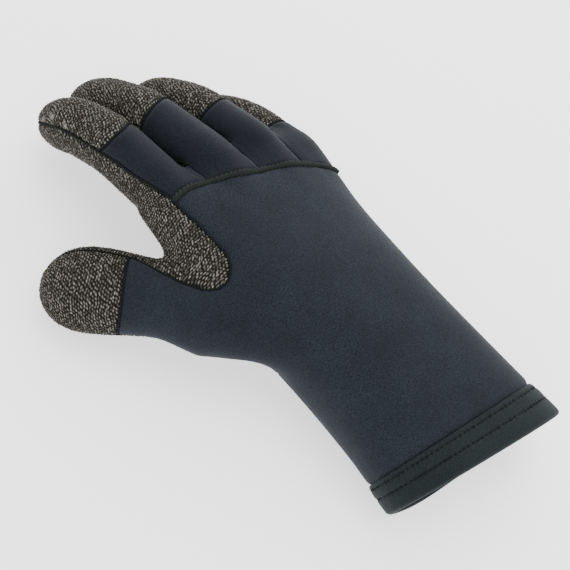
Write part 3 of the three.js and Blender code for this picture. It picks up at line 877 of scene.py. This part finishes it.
def knitMaterial():
    material, nodes, links, shader = newMaterial("loop_knit")
    loop, tone = nodes.new("ShaderNodeAttribute"), nodes.new("ShaderNodeAttribute")
    loop.attribute_name, tone.attribute_name = "loop", "tone"
    fibre = noise(nodes, links, Scale=loopKnit["fibre"], Detail=3.0, Roughness=0.65)
    lightness = ramp(nodes, links, tone.outputs["Fac"], *loopKnit["toneRange"])
    yarn = mixed(nodes, links, lightness, loopKnit["dull"], loopKnit["light"])
    strands = ramp(nodes, links, fibre, *loopKnit["fibreRange"])
    frayed = mixed(nodes, links, strands, loopKnit["ground"], yarn)
    yarn = mixed(nodes, links, loopKnit["frayed"], yarn, frayed)
    raised = ramp(nodes, links, loop.outputs["Fac"], *loopKnit["loopRange"])
    links.new(mixed(nodes, links, raised, loopKnit["ground"], yarn), shader.inputs["Base Color"])
    setInputs(shader, {"Roughness": loopKnit["rough"], "Specular IOR Level": loopKnit["shine"]})
    bumped(nodes, links, shader, fibre, loopKnit["bump"], loopKnit["bumpDepth"])
    return material


knitCloth = knitMaterial()

# Thread of the seams: a twist of dark and light strands
twisted = dict(twist=4200.0, contrast=(0.3, 0.7), rough=0.75, shine=0.12, bump=0.5, bumpDepth=0.0002)


def threadMaterial(name, dark, light):
    material, nodes, links, shader = newMaterial(name)
    twist = noise(nodes, links, Scale=twisted["twist"], Detail=2.0)
    strands = ramp(nodes, links, twist, *twisted["contrast"])
    links.new(mixed(nodes, links, strands, dark, light), shader.inputs["Base Color"])
    setInputs(shader, {"Roughness": twisted["rough"], "Specular IOR Level": twisted["shine"]})
    bumped(nodes, links, shader, twist, twisted["bump"], twisted["bumpDepth"])
    return material


thread = threadMaterial("seam_thread", colour(8, 10, 10), colour(26, 32, 30))
# Lighter copy of the seam thread for the knuckle ridge: its lighter strands are a painted highlight on the
# raised ridge
highlitOverlockThread = threadMaterial("overlock_thread_painted_highlight", colour(14, 17, 16), colour(42, 47, 45))
print("materials ready")

# The floor in the glove's own axes
floorHeight = glove["floorGap"] - glove["place"][2]


# Six times the volume that faces enclose, negative where they point inwards
def turnedOut(points, faces):
    total = 0.0
    for f in faces:
        for k in range(1, f.shape[1] - 1):
            a, b, c = points[f[:, 0]], points[f[:, k]], points[f[:, k + 1]]
            total += (a * np.cross(b, c)).sum()
    return total


allTriangles = []


# Adds a finished piece, its faces pointing out and nothing of it below the floor
def place(name, points, faces, material, slot, nodes=(), values=None):
    points = points.copy()
    points[:, 2] = np.maximum(points[:, 2], floorHeight)
    if turnedOut(points, faces) < 0:
        faces = [f[:, ::-1] for f in faces]
    piece = addMesh(name, points, faces, material, values)
    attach(piece, "root")
    if nodes:
        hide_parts(*nodes)
    allTriangles.append(sum(len(f) * (f.shape[1] - 2) for f in faces))
    print(name, allTriangles[-1], "triangles")


# A neoprene panel of the joined skin, its edges rolled down into the seams. Gives its points,
# triangles and normals, for the threads in its seams.
def neoprenePanel(name, rules, seamDistance):
    points, tris, at, normals = cutPanel(rules)
    outer = points + normals * rollDown(seamDistance(at), "neoprene")[:, None]
    inner = points - normals * glove["wall"]
    place(name + "_cloth", np.concatenate([outer, inner]), shellFaces([tris], len(points)),
          handJersey, "neoprene", [name])
    return points, tris, normals


# The knit's values at a piece's points, none of them on the inner wall
def yarnValues(loop, tone, innerCount):
    bare = np.zeros(innerCount)
    return dict(loop=np.concatenate([loop.ravel(), bare]), tone=np.concatenate([tone.ravel(), bare]))


# A knit panel of the joined skin: split finer, then raised by its loops
def knitPanel(name, rules, seamDistance, uv, salt):
    points, tris, at, normals = cutPanel(rules)
    inner = points - normals * glove["wall"]
    u, v = uv(at)
    columns = np.column_stack([points, normals, u, v, seamDistance(at)])
    columns, fine, chain, edges = refineTwice(columns, tris)
    height, loop, tone = knitLoops(columns[:, 6], columns[:, 7], salt)
    edge = columns[:, 8]
    outer = columns[:, :3] + unit(columns[:, 3:6]) * knitRise(height, edge)[:, None]
    size = len(outer)
    rim = np.stack([*chain[::-1], edges[:, 0] + size, edges[:, 1] + size], 1)
    place(name + "_knit", np.concatenate([outer, inner]), [fine, tris[:, ::-1] + size, rim],
          knitCloth, "loop_knit", [name], yarnValues(loop, tone, len(inner)))


# What each panel of the hand keeps: a point is in it where every rule is below zero. The back
# ends a hair before the knuckle line, and the palm laps under the line by palmLap.
backShort, palmLap = 0.1, 0.6
inSleeve = glove["sleeveStart"] - alongBody
belowLine = np.minimum(topSide, palmLap - beyondKnuckles)
besideBacks = np.minimum(backWedge, beyondKnuckles + palmLap)
handRules = dict(
    back=[-topSide, beyondKnuckles + backShort, capBeyond, inSleeve],
    under=[topSide, alongBody - glove["palmHeel"], inSleeve],
    palm=[np.maximum(belowLine, besideBacks), pastRoots, frontThumb, glove["palmHeel"] - alongBody],
    thumbFront=[-frontThumb, topSide],
    thumbCap=[-capLine, -topSide, ownThumb],
)
backRim = neoprenePanel(
    "back_panel", handRules["back"],
    lambda at: np.min([at["topSide"], -at["knuckle"], -at["capBeyond"],
                       at["along"] - glove["sleeveStart"]], 0))
underRim = neoprenePanel(
    "gauntlet_under", handRules["under"],
    lambda at: np.min([-at["topSide"], glove["palmHeel"] - at["along"],
                       at["along"] - glove["sleeveStart"]], 0))

# Arc length round the hand past the thumb's root, for the palm's rows
roundAt, arcSteps = 135.0, 361
aroundTable = np.linspace(0, 2 * np.pi, arcSteps)
arcTable = runAlong(bodyPoint(np.full(arcSteps, roundAt), aroundTable))
knitPanel("palm_panel", handRules["palm"],
          lambda at: np.minimum(np.where(at["knuckle"] < 0, -at["topSide"], -at["backWedge"]),
                                at["along"] - glove["palmHeel"]),
          lambda at: (np.interp(at["around"], aroundTable, arcTable), at["along"]), salts["palm"])
thumbRadius = 15.5   # turns the thumb's angles into mm for its rows
knitPanel("thumb_front", handRules["thumbFront"], lambda at: -at["topSide"],
          lambda at: (at["aroundThumb"] * thumbRadius, at["thumbAlong"]), salts["thumbFront"])
knitPanel("thumb_cap", handRules["thumbCap"],
          lambda at: np.minimum(at["topSide"], at["capBeyond"]),
          lambda at: (at["thumbAngle"] * thumbRadius, at["thumbAlong"]), salts["thumbCap"])


# Mesh of a panel from grids of points: rows run along it and columns across it, and the inner
# wall has one cell to so many of the face's. A pole closes the last row in one point.
def gridPanel(outer, inner, every, pole):
    rows, columns = outer.shape[:2]
    faces, points = gridFaces(rows, columns), outer.reshape(-1, 3)
    innerRows, innerColumns = inner.shape[:2]
    back = gridFaces(innerRows, innerColumns)
    size = len(points)
    total = np.concatenate([points, inner.reshape(-1, 3)])
    number = np.arange(size).reshape(rows, columns)
    wallNumber = size + np.arange(innerRows * innerColumns).reshape(innerRows, innerColumns)

    def border(grid):
        sides = [grid[0], grid[:, -1], grid[-1, ::-1], grid[::-1, 0]]
        return sides if not pole else [grid[0], grid[:, -1], grid[::-1, 0]]

    rim = []
    for fine, coarse in zip(border(number), border(wallNumber)):
        k = np.arange(len(coarse) - 1)
        face = [fine[k * every + m] for m in range(every, -1, -1)]
        rim.append(np.stack([*face, coarse[k], coarse[k + 1]], 1))
    faces = [faces, back[:, ::-1] + size, *rim]
    if pole:
        toPole = np.arange(len(total))
        toPole[number[-1]] = number[-1, 0]
        toPole[wallNumber[-1]] = wallNumber[-1, 0]
        faces = [toPole[f] for f in faces]
    return total, faces


# Drops corners that a pole has made alike, so that a face there is a triangle
def withoutDoubles(faces):
    out = []
    for f in faces:
        alike = f == np.roll(f, -1, axis=1)
        count = alike.sum(1)
        out.append(f[count == 0])
        if f.shape[1] > 3 and (count == 1).any():
            some, drop = f[count == 1], alike[count == 1]
            out.append(some[~drop].reshape(len(some), -1))
    return [f for f in out if len(f)]


# The fingers' grids, mm along a finger from its root
fingerGrid = dict(
    rootBack=-24.0,               # how far back a panel may begin
    blendEnd=19.5,                # up to here a finger lies on the joined skin,
    part=(19.5, 10.0),            # and from here it opens from its neighbour, over a span
    valleyEnd=30.0,               # from here on its side edges are its own
    above=11.0,                   # height over the centre line from which the skin is sought
    least=0.15, most=2.0,         # limits of an edge's angle in a valley, radians
    station=0.5, tipSteps=90,     # spacing of the places looked at, and their number at the tip
    steady=10, soft=0.12,         # evening of the valley's angles: stations, radians
    across=130.0)                 # typical width of a back panel, degrees


# Where the skins of neighbouring fingers meet, seen from the back of the hand: midway between
# their centre lines. Gives the angle from the finger's top at distances s along it.
def valleyAngle(name, other, s):
    d, o = digits[name], digits[other]
    centre = lookUp(d, "centre", s)
    across = np.interp(centre[:, 1], o["centre"][:, 1], o["centre"][:, 0])
    start = np.stack([(centre[:, 0] + across) / 2, centre[:, 1], centre[:, 2] + fingerGrid["above"]], -1)
    point = toSkin(start, towards=np.array([0.0, 0.0, 1.0]))
    q = point - centre
    x = (q * lookUp(d, "side", s)).sum(-1) / lookUp(d, "across", s)
    z = (q * lookUp(d, "top", s)).sum(-1) / lookUp(d, "deep", s)
    return np.arctan2(x, z)


rootStations = np.arange(fingerGrid["rootBack"], fingerGrid["valleyEnd"], fingerGrid["station"])
valleys = {}
window = 2 * fingerGrid["steady"] + 1
for name, other in zip(fingers, fingers[1:]):
    for one, two, side in ((name, other, 1), (other, name, -1)):
        angle = np.clip(side * valleyAngle(one, two, rootStations), fingerGrid["least"], fingerGrid["most"])
        padded = np.pad(angle, fingerGrid["steady"], "edge")
        valleys[one, side] = side * np.convolve(padded, np.full(window, 1 / window), "valid")


# Angles of a finger's two side seams at distances s along it
def sideAngles(name, s):
    angles = []
    for side, key in ((-1, "low"), (1, "high")):
        angle = np.radians(table(backEdges[name][key], s))
        if (name, side) in valleys:
            valley = side * np.interp(s, rootStations, valleys[name, side])
            begin, span = fingerGrid["part"]
            valley = mix(valley, np.maximum(valley, fingerGrid["most"]), easeFrom(s, begin, span))
            angle = side * softMin(side * angle, valley, fingerGrid["soft"])
        angles.append(angle)
    return angles


# Point of a finger's skin at (s, angle), moved out along its radius to the joined skin near the root
def fingerSkin(name, s, angle):
    d = digits[name]
    point = digitPoint(d, s, angle)
    near = s < fingerGrid["blendEnd"]
    if near.any():
        outward = unit(point[near] - lookUp(d, "centre", s[near]))
        point[near] = toSkin(point[near], fingers, towards=outward, rounds=5)
    return point


# Places along a digit, and the distance run over its skin to each, the tip's curve included
def skinRun(d):
    tipTurn = np.sin(np.linspace(0, np.pi / 2, fingerGrid["tipSteps"]))
    tipStart = d["length"] - d["tip"]
    s = np.concatenate([np.arange(fingerGrid["rootBack"], tipStart, fingerGrid["station"]),
                        d["length"] - d["tip"] * (1 - tipTurn)])
    r = d["depth"] / 2 * tipRound(d, s)
    return s, runAlong(np.stack([s, r], 1)) + fingerGrid["rootBack"]


# Normals of a grid of points, from its slopes down and across; a pole takes its neighbours' mean
def gridNormals(points):
    down = np.gradient(points, axis=0)
    across = np.gradient(points, axis=1)
    normal = np.cross(across, down)
    size = np.linalg.norm(normal, axis=-1, keepdims=True)
    normal = normal / np.maximum(size, 1e-9)
    normal[-1] = np.where(size[-1] < 1e-5, unit(normal[-2].mean(0)), normal[-1])
    return normal


cell = dict(cap=0.34, front=0.46, back=0.8)   # size of a panel's mesh cells, mm
wallEvery = 4                                 # cells of the outer skin to one of the inner wall


# Number of points over a length in cells of about a size, the cells a multiple of every
def steps(length, size, every=1):
    return int(np.ceil(length / size / every)) * every + 1


# Where the loops are worn pale: mm along the digit, degrees from its top, size in mm
wornSpots = {("index", "cap"): [(64.0, -42.0, 1.7), (71.0, -50.0, 1.4), (55.0, -52.0, 1.3)]}
wornTone, wornLoop = 1.6, 0.8   # how pale the yarn grows there, and how far the loops run together


# A knit panel on a digit: rows from startAt(angle) to the tip, columns between the two angles
# that lowHigh(s) gives. The rows keep even spacing over the tip, and u is the true distance from
# the panel's middle line.
def digitKnit(name, part, startAt, lowHigh, salt, seamAtStart):
    d = digits[name]
    tableS, tableRun = skinRun(d)
    size = cell[part]
    low, high = lowHigh(np.array([fingerGrid["valleyEnd"]]))
    columns = steps((high[0] - low[0]) * d["width"] / 2, size, wallEvery)
    b = np.linspace(0, 1, columns)
    angle0 = mix(low[0], high[0], b)
    start = startAt(angle0)
    runStart = np.interp(start, tableS, tableRun)
    rows = steps(tableRun[-1] - runStart.mean(), size, wallEvery)
    run = mix(runStart[None, :], tableRun[-1], np.linspace(0, 1, rows)[:, None])
    s = np.interp(run, tableRun, tableS)
    low, high = lowHigh(s)
    angle = mix(low, high, b[None, :])
    points = fingerSkin(name, s, angle)
    normals = gridNormals(points)
    radius = (d["width"] + d["depth"]) / 4 * tipRound(d, s)
    u = (angle - (low + high) / 2) * radius
    height, loop, tone = knitLoops(u, run, salt)
    edge = np.minimum((angle - low) * radius, (high - angle) * radius)
    if seamAtStart:
        edge = np.minimum(edge, run - runStart[None, :])
    lift = knitRise(height, edge)
    lift[-1] = lift[-1].mean()
    for along, degrees, size in wornSpots.get((name, part), []):
        away = (s - along) ** 2 + ((angle - np.radians(degrees)) * radius) ** 2
        near = np.exp(-(away / size**2))
        tone, loop = tone + wornTone * near, np.maximum(loop, wornLoop * near)
    outer = points + normals * lift[..., None]
    inner = (points - normals * glove["wall"])[::wallEvery, ::wallEvery]
    total, faces = gridPanel(outer, inner, wallEvery, pole=True)
    place(f"{name}_{part}_knit", total, withoutDoubles(faces), knitCloth, "loop_knit",
          [f"{name}_{part}"], yarnValues(loop, tone, inner.shape[0] * inner.shape[1]))


# The neoprene back of a finger: it starts at the knuckle seam, which is sought from a first
# guess along the finger, and ends at the fingertip's seam, with a hair's gap to both
backPanel = dict(guess=-8.0, furthest=10.0, startGap=0.15, endGap=0.1)


def fingerBack(name):
    d = digits[name]
    columns = steps(np.radians(fingerGrid["across"]) * d["width"] / 2, cell["back"])
    b = np.linspace(0, 1, columns)
    startS = np.full(columns, backPanel["guess"])
    for _ in range(7):
        low, high = sideAngles(name, startS)
        point = fingerSkin(name, startS, mix(low, high, b))
        short = knuckleAt(point[:, 0]) + backPanel["startGap"] - point[:, 1]
        startS = np.clip(startS + short, fingerGrid["rootBack"], backPanel["furthest"])
    endS = np.full(columns, fingerGrid["valleyEnd"])
    for _ in range(4):
        low, high = sideAngles(name, endS)
        endS = table(backEdges[name]["cap"], np.degrees(mix(low, high, b))) - backPanel["endGap"]
    rows = steps((endS - startS).mean(), cell["back"])
    s = mix(startS[None, :], endS[None, :], np.linspace(0, 1, rows)[:, None])
    low, high = sideAngles(name, s)
    angle = mix(low, high, b[None, :])
    points = fingerSkin(name, s, angle)
    normals = gridNormals(points)
    radius = d["width"] / 2
    edge = np.min([(angle - low) * radius, (high - angle) * radius, s - startS, endS - s], 0)
    outer = points + normals * rollDown(edge, "neoprene")[..., None]
    inner = points - normals * glove["wall"]
    total, faces = gridPanel(outer, inner, 1, pole=False)
    # The finger backs take the jersey copy that carries painted shade
    place(f"{name}_back_cloth", total, faces, shadedFingerJersey, "neoprene", [f"{name}_back"])


# A finger's front panel runs from the back's far edge round to its near edge
def fingerFronts(name, s):
    low, high = sideAngles(name, s)
    return high, low + 2 * np.pi


for count, name in enumerate(fingers):
    fingerBack(name)
    digitKnit(name, "cap", lambda a: table(backEdges[name]["cap"], np.degrees(a)),
              lambda s: sideAngles(name, np.maximum(s, fingerGrid["valleyEnd"])),
              salts["fingerCaps"] + count, True)
    digitKnit(name, "front", lambda a: np.full_like(a, rootLine["front"]),
              lambda s: fingerFronts(name, s), salts["fingerFronts"] + count, False)
print("finger panels ready")


# Folded hem: its profile runs from the sleeve down the outside, round the mouth's edge and up the
# inside, and is carried round the body. Two rows of stitches draw it in. Lengths in mm.
hem = dict(
    width=16.0, proud=0.6,                # length up the sleeve, and thickness over it
    rows=(8.6, 13.9), groove=0.62, grooveWidth=0.85,
    pucker=((0.3, 90), (0.15, 37)),       # unevenness of the grooves: share, waves round the hem
    puff=0.3, insidePuff=0.5, insideFold=0.4,
    taper=0.5, taperFrom=14.4, taperSpan=1.6,  # how its upper edge thins to the sleeve
    lip=3.4, lipAt=-2.75, lipSpan=0.75,   # where the mouth reaches further, angles in radians
    restFlat=1.45, restInside=0.6,        # its underside is flat where it rests
    sides=420, outsideRings=56, foldRings=13,
    startGap=0.1, tuck=0.25, tuckIn=0.5,  # how the profile closes at the sleeve
    pitch=2.6, long=1.9, thick=0.26,      # its stitches
)


# Point of the hem: the body's skin at a distance along it, grown outward by the profile and
# drawn in at the rows of stitches, the mouth pushed out where the lip is
def hemShape(along, grow, angle):
    outside = grow > -glove["wall"] / 2
    fold = sum(np.exp(-((along - row) / hem["grooveWidth"]) ** 2) for row in hem["rows"])
    (wide, slow), (fine, quick) = hem["pucker"]
    pucker = 1 + wide * np.cos(angle * slow) + fine * np.sin(angle * quick)
    swell = hem["puff"] * np.sin(np.pi * np.clip(along / hem["width"], 0, 1)) ** 0.5
    taper = hem["taper"] * easeFrom(along, hem["taperFrom"], hem["taperSpan"])
    draw = np.where(outside, swell - hem["groove"] * fold * pucker - taper,
                    -hem["insidePuff"] * swell + hem["insideFold"] * fold)
    lip = hem["lip"] * np.exp(-((wrapAngle(angle - hem["lipAt"])) / hem["lipSpan"]) ** 2)
    along = along - lip * (1 - ease(along / hem["rows"][0]))
    point = bodyPoint(along, angle, grow + draw)
    floorLine = bodyPoint(0.0 * angle, angle, hem["proud"])[..., 2].min() + hem["restFlat"]
    point[..., 2] = np.maximum(point[..., 2], floorLine + np.where(outside, 0, hem["restInside"]))
    return point


def makeHem():
    half = glove["wall"] / 2 + hem["proud"]
    middle = -glove["wall"] / 2
    turn = np.linspace(0, np.pi, hem["foldRings"])[1:-1]
    out = np.linspace(hem["width"] - hem["startGap"], half, hem["outsideRings"])
    tuck = np.full(2, hem["width"] + hem["tuck"])
    along = np.concatenate([out, half - half * np.sin(turn), out[::-1], tuck])
    tuckGrow = [middle - half + hem["tuckIn"], middle + half - hem["tuckIn"]]
    grow = np.concatenate([0 * out + middle + half, middle + half * np.cos(turn),
                           0 * out + middle - half, tuckGrow])
    points = hemShape(along[:, None], grow[:, None], fullTurn(hem["sides"])[None, :])
    rows, columns = points.shape[:2]
    faces = gridFaces(rows + 1, columns, wrap=True) % (rows * columns)
    place("cuff_hem_cloth", points.reshape(-1, 3), [faces], hemJersey, "hem_neoprene", ["cuff_hem"])


makeHem()


# One stitch of thread: a slim capsule of unit length along x, its radius falling by a cube
def capsule(rings=5, sides=6):
    t = np.linspace(-1, 1, rings + 2)[1:-1]
    r = np.sqrt(np.maximum(1 - np.abs(t) ** 3, 0))[:, None]
    angle = fullTurn(sides)
    points = np.stack([np.repeat(t[:, None] / 2, sides, 1), r * np.cos(angle), r * np.sin(angle)], -1)
    points = np.concatenate([points.reshape(-1, 3), [(-0.5, 0, 0), (0.5, 0, 0)]])
    return points, gridFaces(rings, sides, wrap=True), tubeEnds(rings, sides)


# Lays capsules along given directions: centres, lengthwise and outward unit vectors as arrays
def stitches(centres, ahead, outward, long, thick):
    points, quads, ends = capsule()
    sideways = unit(np.cross(ahead, outward))
    outward = np.cross(sideways, ahead)
    x, y, z = (points[None, :, k, None] for k in range(3))
    across = y * sideways[:, None] + z * outward[:, None]
    sewn = centres[:, None] + x * ahead[:, None] * long + across * thick
    shift = (np.arange(len(centres)) * len(points))[:, None, None]
    return sewn.reshape(-1, 3), [(quads + shift).reshape(-1, 4), (ends + shift).reshape(-1, 3)]


hemSewing = dict(samples=4001, ahead=0.01, above=5.0, rise=0.1)


# Even stitches round the hem along each row, lying a little over the cloth
def hemStitches():
    parts = []
    for row in hem["rows"]:
        angle = np.linspace(0, 2 * np.pi, hemSewing["samples"])
        run = runAlong(hemShape(np.full_like(angle, row), np.full_like(angle, hem["proud"]), angle))
        count = int(run[-1] / hem["pitch"])
        at = np.interp((np.arange(count) + 0.5) * run[-1] / count, run, angle)
        rowAt, grow = np.full(count, row), np.full(count, hem["proud"])
        centre = hemShape(rowAt, grow, at)
        ahead = unit(hemShape(rowAt, grow, at + hemSewing["ahead"]) - centre)
        above = unit(bodyPoint(rowAt, at, hemSewing["above"]) - bodyPoint(rowAt, at, 0.0))
        parts.append((centre + above * hemSewing["rise"], ahead, above))
    centre, ahead, above = (np.concatenate(k) for k in zip(*parts))
    points, faces = stitches(centre, ahead, above, hem["long"], hem["thick"])
    place("hem_stitches", points, faces, thread, "seam_thread")


hemStitches()

# Overcast thread in the seams: a slim cord sunk between the panels, swelling at each stitch
cordShape = dict(radius=0.5, swell=0.34, pitch=1.7, wobble=0.1, spacing=0.4, sides=6,
                 sink=0.55, handSink=0.8,       # depth in a seam, and in the hand's long seam
                 endLength=0.8, endLeast=0.05)  # how its ends grow thin


# Points at even distances along a path, with any columns that follow its three coordinates,
# and the distance run to each
def evenPath(path, spacing):
    run = runAlong(path[:, :3])
    at = np.linspace(0, run[-1], max(int(run[-1] / spacing), 4) + 1)
    return np.stack([np.interp(at, run, path[:, k]) for k in range(path.shape[1])], 1), at


# Rings round a path: half sizes sideways and outward times the cosine and sine of the angle
def pathRings(centre, sideways, outward, wide, high):
    return centre[:, None] + wide[..., None] * sideways[:, None] + high[..., None] * outward[:, None]


# A cord along a seam's path, outward being the skin's normals along it
def seamCord(path, outward, sink=cordShape["sink"]):
    both, run = evenPath(np.concatenate([path, outward], 1), cordShape["spacing"])
    path, outward = both[:, :3], unit(both[:, 3:])
    ahead = unit(np.gradient(path, axis=0))
    sideways = unit(np.cross(ahead, outward))
    bulge = np.abs(np.sin(np.pi * run / cordShape["pitch"]))
    radius = cordShape["radius"] * (1 - cordShape["swell"] + cordShape["swell"] * 2 * bulge)
    fromEnd = np.minimum(run, run[-1] - run) / cordShape["endLength"]
    radius = radius * np.minimum(1, fromEnd + cordShape["endLeast"])
    wobble = cordShape["wobble"] * np.sin(2 * np.pi * run / cordShape["pitch"])
    centre = path - outward * sink + sideways * wobble[:, None]
    angle = fullTurn(cordShape["sides"])
    return closedTube(pathRings(centre, sideways, outward, radius[:, None] * np.cos(angle),
                                radius[:, None] * np.sin(angle)))


# The rim of a cut panel as one ordered loop of point numbers
def rimLoop(tris, size):
    edges = rimEdges(tris, size)
    follow = dict(edges.tolist())
    loops = []
    while follow:
        first, here = follow.popitem()
        loop = [first]
        while here != first and here in follow:
            loop.append(here)
            here = follow.pop(here)
        loops.append(loop)
    return max(loops, key=len)


# A path evened out: each point moves towards the mean of its neighbours, the ends stay
def smoothed(path, rounds=6):
    path = path.copy()
    for _ in range(rounds):
        path[1:-1] = (path[:-2] + 2 * path[1:-1] + path[2:]) / 4
    return path


# The part of a panel's rim that is on one line: chosen takes distances along the body and says
# where it is, and the loop is turned to begin there
def rimPart(rim, chosen):
    points, tris, normals = rim
    loop = np.array(rimLoop(tris, len(points)))
    keep = chosen(bodyField(points[loop])[1])
    begin = np.flatnonzero(keep & ~np.roll(keep, 1))[0]
    loop = np.roll(loop, -begin)[:keep.sum()]
    return points[loop], normals[loop]


def digitCord(d, path, s):
    return seamCord(path, unit(path - lookUp(d, "centre", s)))


# Where the seams' threads begin and end: the hand's seam stops by the hem, the fingers' by
# the web or, on the outer sides, under the knuckle seam
threadRuns = dict(hem=0.4, heel=0.3, web=3.0, outerStart=-8.0, tip=1.0, thumbStart=36.0)


def seamThreads():
    path, outward = rimPart(backRim, lambda along: along >= glove["sleeveStart"] + threadRuns["hem"])
    cords = [seamCord(smoothed(path), smoothed(outward), sink=cordShape["handSink"])]
    cords.append(seamCord(*rimPart(
        underRim, lambda along: np.abs(along - glove["palmHeel"]) < threadRuns["heel"])))
    for name in fingers:
        d = digits[name]
        low, high = sideAngles(name, np.array([fingerGrid["valleyEnd"]]))
        angle = np.linspace(low[0], high[0], 40)
        lines = [(table(backEdges[name]["cap"], np.degrees(angle)), angle)]
        s = np.arange(rootLine["front"] - threadRuns["web"], d["length"] - threadRuns["tip"], 1.0)
        for side in (0, 1):
            outer = (name, (-1, 1)[side]) not in valleys
            along = np.concatenate([np.arange(threadRuns["outerStart"], s[0], 1.0), s]) if outer else s
            lines.append((along, sideAngles(name, along)[side]))
        for s, angle in lines:
            cords.append(digitCord(d, fingerSkin(name, s, angle), s))
    d = digits["thumb"]
    angle = np.radians(np.linspace(*thumbWedge, 50))
    s = table(thumbCap, np.degrees(angle))
    cords.append(digitCord(d, digitPoint(d, s, angle), s))
    s = np.arange(threadRuns["thumbStart"], d["length"] - threadRuns["tip"], 1.0)
    for degrees in thumbWedge:
        cords.append(digitCord(d, digitPoint(d, s, np.full_like(s, np.radians(degrees))), s))
    points, faces = joinMeshes(cords)
    place("seam_threads", points, [faces], thread, "seam_thread")


seamThreads()

# Overlocked seam over the knuckles: a low ridge with threads wrapped slantwise over it
overlock = dict(halfWidth=0.95, height=1.0, sink=0.45, wrap=0.62, pitch=2.1, slant=0.6, sides=16,
                uneven=((0.2, 4.7), (0.12, 1.9)),   # share of its size, length in mm
                inset=(1.0, 0.5), above=62.0,       # from the line's ends; height to start from
                samples=120, spacing=0.3, endLength=1.5, endLeast=0.05,
                roundWrap=0.7, roundEnd=0.5)        # powers of the wraps' wave and of the ends


# The knuckle line is laid on the skin from above. Its section is an ellipse, and the wraps
# raise it by a rounded wave that runs slantwise along it.
def knuckleRidge():
    first, last = knuckleLine[0, 0] * glove["palmWidth"], knuckleLine[-1, 0] * glove["palmWidth"]
    x = np.linspace(first + overlock["inset"][0], last - overlock["inset"][1], overlock["samples"])
    start = np.stack([x, knuckleAt(x), np.full_like(x, overlock["above"])], -1)
    path = toSkin(start, towards=np.array([0.0, 0.0, 1.0]), rounds=7)
    both, run = evenPath(np.concatenate([path, skinNormal(path)], 1), overlock["spacing"])
    path, outward = both[:, :3], unit(both[:, 3:])
    ahead = unit(np.gradient(path, axis=0))
    sideways = unit(np.cross(ahead, outward))
    angle = fullTurn(overlock["sides"])
    phase = run[:, None] / overlock["pitch"] + overlock["slant"] * np.cos(angle)[None, :]
    wraps = overlock["wrap"] * np.abs(np.cos(np.pi * phase)) ** overlock["roundWrap"]
    fromEnd = np.minimum(run, run[-1] - run) / overlock["endLength"]
    ends = np.clip(fromEnd, overlock["endLeast"], 1)[:, None] ** overlock["roundEnd"]
    slow, quick = overlock["uneven"]
    uneven = (1 + wave(run, *slow) + wave(run, *quick, 1))[:, None]
    wide = (overlock["halfWidth"] * uneven + wraps) * ends
    high = (overlock["height"] * uneven + wraps) * ends
    rings = pathRings(path - outward * overlock["sink"], sideways, outward,
                      wide * np.cos(angle), high * np.sin(angle))
    points, faces = closedTube(rings)
    # The ridge's thread is the copy with the painted highlight
    place("knuckle_seam_thread", points, [faces], highlitOverlockThread, "seam_thread", ["knuckle_seam"])


knuckleRidge()
print("seams ready, triangles in all", sum(allTriangles))

# Camera at the photo's angle: the point it looks at and its distance in mm, angles in degrees
view = dict(target=(7.9, -9.9, 32.8), azimuth=-69.6, elevation=53.9, distance=650.0, roll=30.2, lens=95.5)


def makeCamera():
    a, e, roll = (np.radians(view[k]) for k in ("azimuth", "elevation", "roll"))
    back = Vector((np.sin(a) * np.cos(e), -np.cos(a) * np.cos(e), np.sin(e)))
    right = (-back).cross(Vector((0, 0, 1))).normalized()
    up = right.cross(-back)
    turnedRight = right * np.cos(roll) + up * np.sin(roll)
    turnedUp = up * np.cos(roll) - right * np.sin(roll)
    data = bpy.data.cameras.new("camera")
    data.lens, data.sensor_width = view["lens"], 36
    data.clip_start, data.clip_end = 0.01, 20
    camera = bpy.data.objects.new("camera", data)
    camera.matrix_world = Matrix((turnedRight, turnedUp, back)).transposed().to_4x4()
    camera.location = (Vector(view["target"]) + back * view["distance"]) * millimetre
    bpy.context.scene.collection.objects.link(camera)
    bpy.context.scene.camera = camera


makeCamera()


# Soft studio lights, all turned to the middle of the glove
aim = (0, 0, 0.03)


def areaLight(name, location, size, power):
    data = bpy.data.lights.new(name, "AREA")
    data.size, data.energy = size, power
    light = bpy.data.objects.new(name, data)
    light.location = location
    light.rotation_mode = "QUATERNION"
    light.rotation_quaternion = (Vector(aim) - Vector(location)).to_track_quat("-Z", "Y")
    bpy.context.scene.collection.objects.link(light)


areaLight("overhead", (0.15, 0.1, 1.1), 1.1, 9.0)
areaLight("far side", (0.75, 0.35, 0.45), 0.6, 6.0)
areaLight("near side", (-0.8, -0.5, 0.7), 0.8, 4.0)
studio = dict(strength=1.25, floorHalf=4.0, floorTone=0.93, floorGlow=1.1, floorRough=0.9)
world = bpy.data.worlds.new("studio")
world.use_nodes = True
setInputs(world.node_tree.nodes["Background"], {"Color": (1, 1, 1, 1), "Strength": studio["strength"]})
bpy.context.scene.world = world

# Pale floor under the glove
floorMesh = bpy.data.meshes.new("floor")
half = studio["floorHalf"]
corners = [(-half, -half, 0), (half, -half, 0), (half, half, 0), (-half, half, 0)]
floorMesh.from_pydata(corners, [], [(0, 1, 2, 3)])
floor = bpy.data.objects.new("floor", floorMesh)
bpy.context.scene.collection.objects.link(floor)
floorMaterial, _, _, floorShader = newMaterial("floor")
setInputs(floorShader, {
    "Base Color": (*(studio["floorTone"],) * 3, 1), "Emission Color": (1, 1, 1, 1),
    "Emission Strength": studio["floorGlow"], "Roughness": studio["floorRough"]})
floorMesh.materials.append(floorMaterial)
